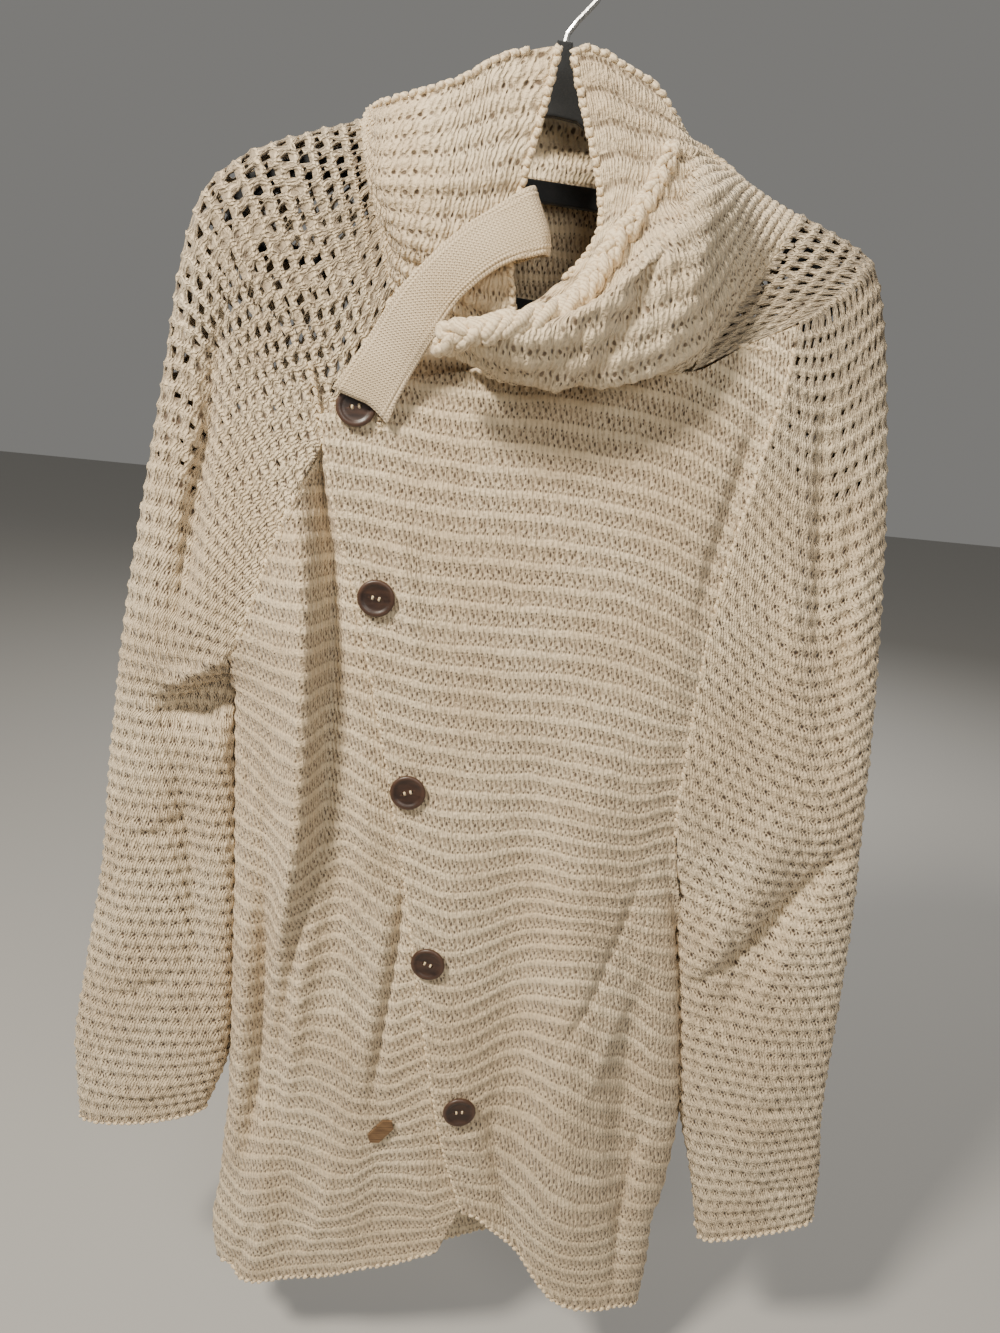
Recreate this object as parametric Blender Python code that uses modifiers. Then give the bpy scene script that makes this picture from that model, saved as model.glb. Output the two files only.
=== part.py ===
"""Funnel neck cardigan hanging on a plastic hanger.

A long, loose cardigan in chunky knit: a back, two fronts that overlap on a slanted
button line, two raglan sleeves, a tall slouching collar, a jersey neck strap, five
buttons and a small wooden tag. Every panel is one wall of cloth lofted through the
sections in the tables below, so neck, hem, cuffs and armholes are open. The origin is
the inside top of the hanger's hook, +Z is up and the cardigan's front faces -Y.
Left and right in the names are the wearer's, so the right side lies at -X.
Tables are in millimetres.
"""
import math
from collections import namedtuple

import bmesh
import bpy
import numpy as np
from mathutils import Matrix, Vector

MM = 0.001

# Driving dimensions, mm
CLOTH = 3.0             # wall of the chunky knit
JERSEY = 2.0            # wall of the neck strap, two plies of fine jersey
SEAM_GAP = 0.9          # from each cut edge to the seam line between two panels
LAYER = 5.0             # from the under front to the over front, centre to centre
EDGE_ROUND = 3.4        # exponent of the flattened section: higher is squarer
HANGER_THICK = 8.0
HOOK_WIRE = 3.6
HOOK_INNER_RADIUS = 19.0
BUTTON_DIAMETER = 25.0
BUTTON_THICK = 4.0
TOP_GAP = 1.4           # from a panel's top edge down from its seam line
FOOT_GAP = 2.8          # from a panel's top edge up to the foot of the collar
COLLAR_RIGHT_START = -10.0      # x where the right collar's front edge stands
COLLAR_LEFT_END = -62.0         # x where the left collar's rolled end lies
COLLAR_JOIN = 2.2       # half the gap between the two collars on the shoulder

# The body below the raglan seams. Every row is one level, measured down from the hook.
BodySection = namedtuple("BodySection", "level left right front back shut_left shut_right")
BODY = (
    BodySection(-90, -80, 120, 9, 8, 0.0, 0.0),
    BodySection(-130, -84, 156, 14, 9, 0.0, 0.0),
    BodySection(-204, -90, 158, 24, 12, 0.0, 0.0),
    BodySection(-277, -118, 150, 29, 14, 0.0, 0.0),
    BodySection(-350, -149, 140, 31, 15, 0.0, 0.0),
    BodySection(-430, -178, 132, 32, 16, 0.2, 0.0),
    BodySection(-480, -186, 130, 32, 16, 1.0, 0.0),
    BodySection(-560, -185, 130, 33, 16, 1.0, 0.8),
    BodySection(-640, -184, 147, 34, 17, 1.0, 1.0),
    BodySection(-720, -184, 161, 35, 17, 1.0, 1.0),
    BodySection(-815, -185, 171, 36, 18, 1.0, 1.0),
    BodySection(-865, -189, 169, 36, 18, 1.0, 1.0),
    BodySection(-905, -192, 164, 36, 18, 1.0, 1.0),
    BodySection(-942, -197, 165, 36, 18, 1.0, 1.0),
    BodySection(-1005, -188, 162, 36, 18, 1.0, 1.0),
)

# Soft folds of the fronts and the back: a crest line (x at top, middle and bottom), its
# half widths to either side, and its height towards the viewer (negative is a trough).
Fold = namedtuple("Fold", "top bottom x_top x_mid x_bottom width_left width_right height")
UNDER_FRONT_FOLDS = (
    Fold(-280, -800, -139, -127, -138, 26, 10, 20),
    Fold(-280, -720, -118, -106, -108, 10, 17, -8),
    Fold(-470, -930, -157, -154, -165, 10, 11, -8),
    Fold(-760, -1010, -152, -154, -160, 16, 14, 8),
    Fold(-700, -960, -92, -84, -92, 20, 20, 7),
)
OVER_FRONT_FOLDS = (
    Fold(-250, -370, -134, -123, -110, 14, 16, 3),
    Fold(-520, -860, -34, -22, 2, 26, 24, 5),
    Fold(-480, -960, 24, 32, 52, 20, 22, -8),
    Fold(-440, -1010, 66, 76, 108, 26, 26, 10),
    Fold(-600, -960, 112, 124, 140, 12, 14, -8),
    Fold(-250, -560, 146, 136, 124, 14, 9, -7),
)
BACK_FOLDS = (
    Fold(-260, -960, -118, -110, -124, 22, 26, -7),
    Fold(-330, -1000, -60, -44, -52, 24, 20, 6),
    Fold(-300, -900, 8, 22, 14, 20, 24, -6),
    Fold(-380, -1000, 70, 82, 96, 24, 22, 7),
)

# Slanted front edge of the over front, and the edge of the under front beneath it.
OVER_EDGE = (
    # level, x
    (-250, -139), (-286, -130), (-346, -117), (-404, -100), (-475, -83), (-590, -58), (-680, -41),
    (-773, -23), (-822, -12), (-886, 8), (-930, 22),
)
UNDER_EDGE = (
    # level, x
    (-240, 48), (-375, 42), (-479, 34), (-595, 28), (-690, 26), (-790, 25), (-850, 20), (-890, 6),
    (-935, -12),
)
HEM_OVER = ((0, -886), (16, -889), (32, -902), (58, -927), (76, -951), (90, -966), (110, -974),
            (130, -977), (146, -977), (156, -981), (168, -986))
HEM_UNDER = ((-200, -974), (-190, -975), (-182, -973), (-168, -981), (-149, -978), (-123, -970),
             (-97, -964), (-71, -953), (-45, -945), (-12, -930), (30, -920))
HEM_BACK = ((-200, -974), (-131, -984), (-60, -981), (-10, -974), (34, -956), (63, -953),
            (110, -962), (150, -975), (170, -977))
TOP_OVER = ((-145, -292), (-110, -272), (-60, -252), (0, -243), (60, -240), (97, -236),
            (128, -218), (160, -202))
TOP_UNDER = ((-92, -205), (-60, -219), (-20, -234), (48, -246))
TOP_BACK = ((-86, -124), (0, -131), (104, -129))
BACK_SEAMS = (
    # level, left seam x, right seam x
    (-122, -86, 104), (-200, -108, 122), (-277, -132, 133), (-350, -153, 136),
    (-430, -178, 132), (-480, -186, 130), (-560, -185, 130),
)

# Sleeves from the neck (first row) to the cuff (last row). Every row is one course of the
# knit: outer is the folded outer edge, inner the seam on the front, inner_back the seam on
# the back; crease and sag place the fold along the course; front and back are the depths.
SleeveSection = namedtuple(
    "SleeveSection",
    "outer_x outer_z inner_x inner_z inner_back_x inner_back_z crease sag front back shut")
RIGHT_SLEEVE = (
    SleeveSection(-118, -110, -91, -205, -86, -124, 0.50, 0, 15, 13, 0.0),
    SleeveSection(-150, -119.5, -105, -242, -98, -166, 0.50, 0, 17, 13, 0.0),
    SleeveSection(-183, -132, -117, -275, -110, -206, 0.55, 2, 19, 13, 0.0),
    SleeveSection(-213, -158, -127, -298, -124, -252, 0.62, 6, 21, 14, 0.0),
    SleeveSection(-227, -203, -138, -323, -136, -290, 0.66, 14, 24, 15, 0.0),
    SleeveSection(-236, -262, -151, -354, -150, -340, 0.66, 20, 25, 16, 0.0),
    SleeveSection(-247.5, -330, -164, -390, -164, -385, 0.60, 17, 26, 17, 0.0),
    SleeveSection(-259.5, -400, -176, -425, -176, -425, 0.58, 6, 26, 17, 0.0),
    SleeveSection(-266, -445, -187, -452, -187, -452, 0.56, 0, 25, 17, 0.4),
    SleeveSection(-270, -475, -195, -478, -195, -478, 0.54, 0, 22, 17, 1.0),
    SleeveSection(-273, -500, -199, -503, -199, -503, 0.52, 0, 20, 17, 1.0),
    SleeveSection(-277, -535, -200, -538, -200, -538, 0.52, 0, 20, 17, 1.0),
    SleeveSection(-283.5, -616, -197, -618, -197, -618, 0.50, 0, 20, 17, 1.0),
    SleeveSection(-298.5, -710, -193, -712, -193, -712, 0.50, 0, 21, 17, 1.0),
    SleeveSection(-310, -790, -196, -785, -196, -785, 0.50, -4, 20, 16, 1.0),
    SleeveSection(-308, -855, -205, -834, -205, -834, 0.50, -3, 18, 15, 1.0),
)
LEFT_SLEEVE = (
    SleeveSection(154, -139, 97, -236, 106, -129, 0.50, 0, 15, 11, 0.0),
    SleeveSection(181, -150, 128, -218, 113, -160, 0.50, -2, 17, 12, 0.0),
    SleeveSection(201, -162, 159, -202, 120, -195, 0.50, -5, 20, 13, 0.0),
    SleeveSection(216, -200, 157, -232, 128, -240, 0.50, -14, 23, 14, 0.0),
    SleeveSection(228, -252, 152, -266, 133, -280, 0.50, -22, 25, 15, 0.0),
    SleeveSection(240, -314, 146, -308, 136, -318, 0.54, -32, 27, 16, 0.0),
    SleeveSection(250, -380, 137, -368, 135, -372, 0.58, -34, 28, 17, 0.0),
    SleeveSection(260, -458, 132, -438, 131, -438, 0.66, -28, 29, 17, 0.0),
    SleeveSection(268, -540, 131, -520, 131, -520, 0.70, -18, 30, 18, 0.0),
    SleeveSection(275, -612, 142, -600, 142, -600, 0.60, -10, 28, 18, 1.0),
    SleeveSection(279, -680, 160, -676, 160, -676, 0.50, -4, 25, 18, 1.0),
    SleeveSection(284, -780, 179, -780, 179, -780, 0.50, 0, 22, 17, 1.0),
    SleeveSection(293, -845, 193, -862, 193, -862, 0.50, 2, 20, 16, 1.0),
    SleeveSection(296, -888, 206, -918, 206, -918, 0.50, 3, 18, 15, 1.0),
)
# Creases of the sleeves' front layers: a line from one end to the other.
Crease = namedtuple("Crease", "x_start z_start x_end z_end width height")
RIGHT_SLEEVE_CREASES = (
    Crease(-203, -232, -226, -450, 14, -7),
    Crease(-176, -330, -204, -450, 18, 5),
    Crease(-168, -466, -240, -502, 17, -16),
    Crease(-222, -500, -206, -760, 14, -7),
    Crease(-262, -520, -276, -780, 24, 5),
)
LEFT_SLEEVE_CREASES = (
    Crease(186, -240, 234, -500, 14, -8),
    Crease(160, -360, 176, -560, 16, -5),
    Crease(206, -520, 166, -680, 18, 6),
    Crease(240, -540, 186, -716, 20, -10),
    Crease(226, -720, 236, -880, 22, 5),
)

# The collar, as sections through its wall from the neck seam up to the cast-off edge.
# along is the section's place on the seam, 0 to 1; the points (x, y, z) climb the wall.
CollarSection = namedtuple("CollarSection", "along low second third fourth top")
COLLAR_RIGHT = (
    CollarSection(0.00, (-16, -43, -208), (-21, -46, -172), (-16, -46, -139), (-8, -45, -100), (-3, -42, -70)),
    CollarSection(0.04, (-34, -45, -202), (-35, -49, -170), (-35, -50, -142), (-35, -48, -110), (-34, -44, -79)),
    CollarSection(0.10, (-60, -43, -194), (-61, -48, -168), (-61, -49, -142), (-61, -47, -117), (-59, -43, -93)),
    CollarSection(0.17, (-90, -34, -184), (-96, -39, -164), (-101, -39, -144), (-103, -35, -124), (-101, -29, -104)),
    CollarSection(0.28, (-104, -28, -151), (-108, -31, -137), (-111, -28, -122), (-111, -20, -110), (-108, -9, -104)),
    CollarSection(0.34, (-110, -23, -126), (-113, -21, -115), (-113, -11, -105), (-109, 2, -101), (-105, 14, -107)),
    CollarSection(0.40, (-113, 2, -103), (-111, 8, -99), (-106, 17, -102), (-102, 24, -118), (-98, 26, -142)),
    CollarSection(0.47, (-94, 17, -110), (-93, 22, -98), (-90, 31, -102), (-87, 35, -128), (-85, 34, -160)),
    CollarSection(0.66, (0, 18, -108), (0, 21, -89), (0, 31, -89), (0, 37, -130), (0, 35, -184)),
    CollarSection(0.84, (92, 17, -112), (89, 21, -100), (85, 29, -104), (83, 33, -132), (81, 32, -168)),
    CollarSection(1.00, (134, 2.6, -130.5), (114, 3.2, -121), (99, 4, -114.5), (91, 7, -111.5), (84, 13, -115)),
)
COLLAR_LEFT = (
    CollarSection(0.00, (134, -2.6, -130.5), (114, -3.2, -121), (99, -3.6, -114), (90, -2, -110), (82, 4, -109)),
    CollarSection(0.22, (113, -40, -168), (94, -54, -140), (82, -44, -126), (75, -32, -110), (66, -26, -95)),
    CollarSection(0.42, (102, -48, -214), (74, -68, -158), (67, -50, -146), (62, -36, -118), (53, -29, -82)),
    CollarSection(0.56, (64, -58, -243), (54, -80, -184), (52, -58, -176), (49, -40, -128), (36, -31, -75)),
    CollarSection(0.68, (29, -62, -251), (27, -86, -209), (36, -64, -200), (41, -43, -138), (21, -32, -69)),
    CollarSection(0.82, (-8, -62, -252), (-10, -85, -228), (14, -62, -212), (35, -44, -150), (12, -33, -68)),
    CollarSection(1.00, (-46, -57, -241), (-56, -72, -227), (-28, -60, -221), (31, -43, -160), (5, -34, -71)),
)

# Neck strap: points of its centre line, from behind the collar's front edge, round that
# edge and down to the top button; width is measured across the run.
StrapSection = namedtuple("StrapSection", "x y z across_x across_z width")
STRAP = (
    StrapSection(-36, -43.0, -180, 0.50, -0.87, 26),
    StrapSection(-14, -41.5, -168, 0.45, -0.89, 30),
    StrapSection(-5, -45.0, -163, 0.43, -0.90, 34),
    StrapSection(-2, -51.0, -161, 0.43, -0.90, 34),
    StrapSection(-7, -56.5, -163, 0.45, -0.89, 34),
    StrapSection(-32, -56.5, -176, 0.52, -0.85, 29),
    StrapSection(-56, -55.5, -197, 0.66, -0.75, 28),
    StrapSection(-73, -51.0, -220, 0.76, -0.65, 33),
    StrapSection(-86, -40.0, -241, 0.84, -0.54, 33),
    StrapSection(-104, -33.6, -272, 0.95, -0.31, 35),
)
BUTTONS = (
    # x, level, height over the cloth
    (-108, -276, 5.0), (-88, -396, 0.6), (-58, -531, 0.6), (-34, -661, 0.6), (-2, -786, 0.6),
)
BUTTON_HOLE = 2.6
BUTTON_HOLE_PITCH = 5.4
TAG_CENTRE = (-60.5, -812)
TAG_OUTLINE = ((-12, 0), (-8, -5.5), (8, -5.5), (12, 0), (8, 5.5), (-8, 5.5))
TAG_TURN = 50.0         # degrees from level
TAG_THICK = 2.0

# The hanger's flat outline, one half, from the neck of the hub round the tip to the foot.
HANGER_HALF = (
    (3.6, -58), (4.6, -63), (9, -67), (16, -71.5), (21, -78), (28, -88), (40, -98), (60, -106),
    (120, -131), (150, -141), (170, -149.5), (182, -157), (190, -168), (191.5, -180), (187, -190),
    (178, -196), (150, -202), (100, -208), (50, -211),
)
HANGER_WINDOW_TOP = ((0, -96), (14, -97), (28, -104), (44, -114), (70, -125.5), (82, -133.5),
                     (60, -134), (0, -134))
HANGER_WINDOW_LOW = ((0, -144), (86, -144), (112, -147), (146, -155), (170, -163), (182, -171),
                     (184, -180), (178, -186), (150, -192.5), (100, -198.5), (50, -202), (0, -203))
HANGER_TILT = 3.15      # degrees, the wearer's left arm is the lower one
HOOK_PATH = (
    (0, -67), (0, -58), (1.2, -52), (5.5, -46), (11, -40), (16.2, -34), (19.6, -27),
)

COLUMNS = {"back": (13,), "front_left": (15,), "front_right": (6, 6, 6), "sleeve": (11, 9),
           "collar_right": 28, "collar_left": 18, "strap": 22}
ROWS = {"back": 16, "front_left": 19, "front_right": 20, "sleeve": 20, "collar": 11, "strap": 2}


def smooth(knots, values, at):
    """Read a smooth curve through the knots: cubic, with no overshoot at the knots."""
    knots = np.asarray(knots, float)
    values = np.asarray(values, float)
    if knots[0] > knots[-1]:
        knots = knots[::-1]
        values = values[::-1]
    at = np.clip(at, knots[0], knots[-1])
    step = np.diff(knots)
    slope = np.diff(values) / step
    tangent = np.empty_like(values)
    tangent[0] = slope[0]
    tangent[-1] = slope[-1]
    product = slope[:-1] * slope[1:]
    total = slope[:-1] + slope[1:]
    safe = np.where(np.abs(total) < 1e-12, 1.0, total)
    tangent[1:-1] = np.where(product > 0, 2 * product / safe, 0.0)
    index = np.clip(np.searchsorted(knots, at) - 1, 0, len(step) - 1)
    width = step[index]
    part = (at - knots[index]) / width
    return (values[index] * (1 + 2 * part) * (1 - part) ** 2
            + tangent[index] * width * part * (1 - part) ** 2
            + values[index + 1] * part ** 2 * (3 - 2 * part)
            + tangent[index + 1] * width * part ** 2 * (part - 1))


def column(rows, name, at):
    """One column of the body's table, read at any level."""
    return smooth([row.level for row in rows], [getattr(row, name) for row in rows], at)


def outline(pairs, at):
    """An outline given as (x, level) or (level, x) pairs, read at any place along it."""
    return smooth([pair[0] for pair in pairs], [pair[1] for pair in pairs], at)


def relief(folds, x, z):
    """Height of the soft folds towards the viewer at every point of a panel."""
    height = np.zeros(np.shape(x))
    for fold in folds:
        along = np.clip((fold.top - z) / (fold.top - fold.bottom), 0, 1)
        crest = smooth((0, 0.5, 1), (fold.x_top, fold.x_mid, fold.x_bottom), along)
        width = np.where(x < crest, fold.width_left, fold.width_right)
        height += fold.height * np.sin(math.pi * along) ** 0.8 * np.exp(-((x - crest) / width) ** 2)
    return height


def crease_relief(creases, x, z):
    """Height of the sleeve's creases, each along a straight line with soft ends."""
    height = np.zeros(np.shape(x))
    for crease in creases:
        run_x = crease.x_end - crease.x_start
        run_z = crease.z_end - crease.z_start
        length = math.hypot(run_x, run_z)
        along = ((x - crease.x_start) * run_x + (z - crease.z_start) * run_z) / length ** 2
        across = ((x - crease.x_start) * run_z - (z - crease.z_start) * run_x) / length
        ends = np.sin(math.pi * np.clip(along, 0, 1)) ** 0.7
        height += crease.height * ends * np.exp(-(across / crease.width) ** 2)
    return height


def flattened(x, left, right, shut_left, shut_right):
    """Share of the full depth at x: 1 in the middle, falling to the folded sides."""
    middle = 0.5 * (left + right)
    half = 0.5 * (right - left)
    place = np.clip((x - middle) / half, -1, 1)
    shut = np.where(place < 0, shut_left, shut_right)
    return np.clip(1 - shut * np.abs(place) ** EDGE_ROUND, 0, 1) ** (1 / EDGE_ROUND)


def front_depth(x, z):
    """Y of the fronts' smooth form, before folds."""
    share = flattened(x, column(BODY, "left", z), column(BODY, "right", z),
                      column(BODY, "shut_left", z), column(BODY, "shut_right", z))
    return -SEAM_GAP - column(BODY, "front", z) * share


def over_front(x, z):
    return front_depth(x, z) - relief(OVER_FRONT_FOLDS, x, z)


def under_front(x, z):
    """The under front lies a layer behind the over front and folds beyond its edge."""
    edge = outline(OVER_EDGE, z)
    beyond = np.clip((edge - 3 - x) / 26, 0, 1)
    beyond = beyond * beyond * (3 - 2 * beyond)
    share = column(BODY, "front", z) / 36
    own = front_depth(x, z) + LAYER * share * (1 - beyond) - relief(UNDER_FRONT_FOLDS, x, z) * beyond
    lower = relief(OVER_FRONT_FOLDS, x, z) * (1 - beyond)
    return own - lower


def back_depth(x, z):
    left = outline([(row[0], row[1]) for row in BACK_SEAMS], z)
    right = outline([(row[0], row[2]) for row in BACK_SEAMS], z)
    left = np.where(z < BACK_SEAMS[-1][0], column(BODY, "left", z), left)
    right = np.where(z < BACK_SEAMS[-1][0], column(BODY, "right", z), right)
    share = flattened(x, left, right, column(BODY, "shut_left", z), column(BODY, "shut_right", z))
    return SEAM_GAP + column(BODY, "back", z) * share - relief(BACK_FOLDS, x, z) * share ** 2


def even_row(points, count):
    """Points spaced evenly along a polyline, ends kept."""
    run = np.concatenate([[0], np.cumsum(np.linalg.norm(np.diff(points, axis=0), axis=1))])
    at = np.linspace(0, run[-1], count)
    return np.column_stack([np.interp(at, run, points[:, axis]) for axis in range(3)])


def panel(hem, crown, spines, depth, columns, rows):
    """Grid of points of a panel between its hem and its top edge.

    The spines run down the panel, from its left side to its right side; columns holds the
    number of columns from each spine to the next.
    """
    share = np.linspace(0, 1, 80)
    grid = []
    for climb in np.linspace(0, 1, rows + 1):
        line = []
        for spine, (start, end) in enumerate(zip(spines, spines[1:])):
            level = np.full_like(share, -600.0)
            for _ in range(40):
                first = start(level)
                x = first + (end(level) - first) * share
                low = outline(hem, x)
                level = 0.5 * level + 0.5 * (low + (outline(crown, x) - TOP_GAP - low) * climb)
            part = even_row(np.column_stack([x, depth(x, level), level]), columns[spine] + 1)
            line.append(part if spine == 0 else part[1:])
        grid.append(np.vstack(line))
    return np.array(grid)


def seam_line(rows, inner):
    """Fine points (x, z) along a sleeve's seam, from the neck to the cuff."""
    count = len(rows)
    at = np.linspace(0, count - 1, 40 * count)
    steps = np.arange(count)
    x = smooth(steps, [getattr(row, inner + "_x") for row in rows], at)
    z = smooth(steps, [getattr(row, inner + "_z") for row in rows], at)
    return x, z


def seam_x(rows, inner, level, first=0):
    """X of a sleeve's seam at a level, from the given row of the sleeve down."""
    x, z = seam_line(rows, inner)
    start = 40 * first
    return np.interp(level, z[start:][::-1], x[start:][::-1])


def sleeve(rows, creases, front_seam_depth, back_seam_depth):
    """Grid of a sleeve: rows run from the neck to the cuff, columns from the front seam
    round the outer edge to the back seam."""
    count = len(rows)
    at = np.linspace(0, count - 1, ROWS["sleeve"] + 1)
    steps = np.arange(count)
    value = {name: smooth(steps, [getattr(row, name) for row in rows], at)
             for name in SleeveSection._fields}
    turn = np.linspace(0, math.pi, 361)
    across = np.abs(np.sin(turn)) ** (2 / EDGE_ROUND)
    share = np.abs(np.cos(turn)) ** (2 / EDGE_ROUND)
    is_front = turn <= math.pi / 2
    grid = []
    for i in range(len(at)):
        v = {name: value[name][i] for name in value}
        inner_x = np.where(is_front, v["inner_x"], v["inner_back_x"])
        inner_z = np.where(is_front, v["inner_z"], v["inner_back_z"])
        inset = SEAM_GAP / math.hypot(v["outer_x"] - v["inner_x"], v["outer_z"] - v["inner_z"])
        along = inset + (1 - inset) * across
        bump = np.where(along < v["crease"], np.sin(0.5 * math.pi * along / v["crease"]),
                        np.sin(0.5 * math.pi * (1 - along) / (1 - v["crease"])))
        x = inner_x + (v["outer_x"] - inner_x) * along
        z = inner_z + (v["outer_z"] - inner_z) * along + v["sag"] * bump
        closing = (1 - v["shut"] * np.clip(1 - along, 0, 1) ** EDGE_ROUND) ** (1 / EDGE_ROUND)
        seam_front = front_seam_depth(np.array([v["inner_x"]]), np.array([v["inner_z"]]))[0]
        seam_back = back_seam_depth(np.array([v["inner_back_x"]]), np.array([v["inner_back_z"]]))[0]
        near = (1 - along) ** 2 * (1 - v["shut"])
        front = share * closing * v["front"] * (1 - near) + share * near * (-seam_front)
        back = share * closing * v["back"] * (1 - near) + share * near * seam_back
        front = front + crease_relief(creases, x, z) * share * closing * (1 - near)
        y = np.where(is_front, -np.maximum(front, 0), back)
        y = y + np.where(is_front, -1, 1) * SEAM_GAP * v["shut"] * (1 - along) ** 4
        points = np.column_stack([x, y, z])
        front_columns, back_columns = COLUMNS["sleeve"]
        grid.append(np.vstack([even_row(points[is_front], front_columns + 1),
                               even_row(points[~is_front], back_columns + 1)[1:]]))
    return np.array(grid)


def foot_of(edge, inside):
    """The line just beyond a panel's edge, square to it, on the far side from its next row."""
    along = np.gradient(edge, axis=0)
    along = along / np.linalg.norm(along, axis=1)[:, None]
    away = edge - inside
    away = away - np.sum(away * along, axis=1)[:, None] * along
    return edge + FOOT_GAP * away / np.linalg.norm(away, axis=1)[:, None]


def collar(base, sections, columns):
    """Grid of a collar: columns follow the neck seam, rows climb to the cast-off edge."""
    keys = [section.along for section in sections]
    at = np.linspace(0, 1, columns + 1)
    levels = [even_row(base, columns + 1)]
    for name in CollarSection._fields[1:]:
        points = np.array([getattr(section, name) for section in sections], float)
        levels.append(np.column_stack([smooth(keys, points[:, axis], at) for axis in range(3)]))
    levels = np.array(levels)
    grid = np.empty((ROWS["collar"] + 1, columns + 1, 3))
    fine = np.linspace(0, 5, 121)
    for i in range(columns + 1):
        climb = np.column_stack([smooth(np.arange(6), levels[:, i, axis], fine) for axis in range(3)])
        grid[:, i] = even_row(climb, ROWS["collar"] + 1)
    return grid


def strap():
    """Grid of the neck strap: rows run across its width, columns along it."""
    run = np.arange(len(STRAP))
    at = np.linspace(0, len(STRAP) - 1, 200)
    value = {name: smooth(run, [getattr(row, name) for row in STRAP], at)
             for name in StrapSection._fields}
    edges = []
    for side in np.linspace(-0.5, 0.5, ROWS["strap"] + 1):
        reach = side * value["width"]
        edges.append(np.column_stack([value["x"] + reach * value["across_x"], value["y"],
                                      value["z"] + reach * value["across_z"]]))
    middle = edges[1]
    step = np.concatenate([[0], np.cumsum(np.linalg.norm(np.diff(middle, axis=0), axis=1))])
    places = np.linspace(0, step[-1], COLUMNS["strap"] + 1)
    return np.array([np.column_stack([np.interp(places, step, edge[:, axis]) for axis in range(3)])
                     for edge in edges])


def panels():
    """The point grids of every cloth piece, by name."""
    def over_edge(z):
        return outline(OVER_EDGE, z)

    def over_side(z):
        seam = seam_x(LEFT_SLEEVE, "inner", z, first=2) - SEAM_GAP
        return np.where(z > -560, seam, column(BODY, "right", z))

    def under_side(z):
        seam = seam_x(RIGHT_SLEEVE, "inner", z) + SEAM_GAP
        return np.where(z > -455, seam, column(BODY, "left", z))

    def under_crest(z):
        fold = UNDER_FRONT_FOLDS[0]
        along = np.clip((fold.top - z) / (fold.top - fold.bottom), 0, 1)
        crest = smooth((0, 0.5, 1), (fold.x_top, fold.x_mid, fold.x_bottom), along)
        return np.maximum(crest, under_side(z) + 7)

    def under_lap(z):
        lap = np.minimum(outline(OVER_EDGE, z), outline(UNDER_EDGE, z) - 12)
        return np.maximum(lap, under_crest(z) + 10)

    def under_edge(z):
        return outline(UNDER_EDGE, z)

    def back_left(z):
        seam = seam_x(RIGHT_SLEEVE, "inner_back", z) + SEAM_GAP
        return np.where(z > -455, seam, column(BODY, "left", z))

    def back_right(z):
        seam = seam_x(LEFT_SLEEVE, "inner_back", z) - SEAM_GAP
        return np.where(z > -560, seam, column(BODY, "right", z))

    grids = {}
    grids["back"] = panel(HEM_BACK, TOP_BACK, (back_left, back_right), back_depth,
                          COLUMNS["back"], ROWS["back"])
    grids["front_left"] = panel(HEM_OVER, TOP_OVER, (over_edge, over_side), over_front,
                                COLUMNS["front_left"], ROWS["front_left"])
    grids["front_right"] = panel(HEM_UNDER, TOP_UNDER,
                                 (under_side, under_crest, under_lap, under_edge), under_front,
                                 COLUMNS["front_right"], ROWS["front_right"])
    grids["sleeve_right"] = sleeve(RIGHT_SLEEVE, RIGHT_SLEEVE_CREASES, under_front, back_depth)
    grids["sleeve_left"] = sleeve(LEFT_SLEEVE, LEFT_SLEEVE_CREASES, over_front, back_depth)

    outer = COLUMNS["sleeve"][0]
    right = foot_of(grids["sleeve_right"][0], grids["sleeve_right"][1])
    left = foot_of(grids["sleeve_left"][0], grids["sleeve_left"][1])
    under = foot_of(grids["front_right"][-1], grids["front_right"][-2])
    over = foot_of(grids["front_left"][-1], grids["front_left"][-2])
    back = foot_of(grids["back"][-1], grids["back"][-2])
    under = under[under[:, 0] < COLLAR_RIGHT_START]
    over = over[(over[:, 0] > COLLAR_LEFT_END) & (over[:, 0] < LEFT_SLEEVE[0].inner_x - 6)]
    shoulder = np.array([0, COLLAR_JOIN, 0])
    foot_right = np.vstack([under[::-1], right, back, left[outer + 1:][::-1], left[outer] + shoulder])
    foot_left = np.vstack([left[outer] - shoulder, left[1:outer][::-1], over[::-1]])
    grids["collar_right"] = collar(foot_right, COLLAR_RIGHT, COLUMNS["collar_right"])
    grids["collar_left"] = collar(foot_left, COLLAR_LEFT, COLUMNS["collar_left"])
    grids["neck_strap"] = strap()
    return grids


def new_material(name, color, roughness, metallic=0.0):
    material = bpy.data.materials.new(name)
    material.use_nodes = True
    shader = material.node_tree.nodes["Principled BSDF"]
    shader.inputs["Base Color"].default_value = (*color, 1.0)
    shader.inputs["Roughness"].default_value = roughness
    shader.inputs["Metallic"].default_value = metallic
    return material


def finish_object(name, obj, collection, material):
    """Name an object, give it its material and move it to the cardigan's collection."""
    for owner in list(obj.users_collection):
        owner.objects.unlink(obj)
    collection.objects.link(obj)
    obj.name = name
    obj.data.name = name
    obj.data.materials.clear()
    obj.data.materials.append(material)
    return obj


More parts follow.
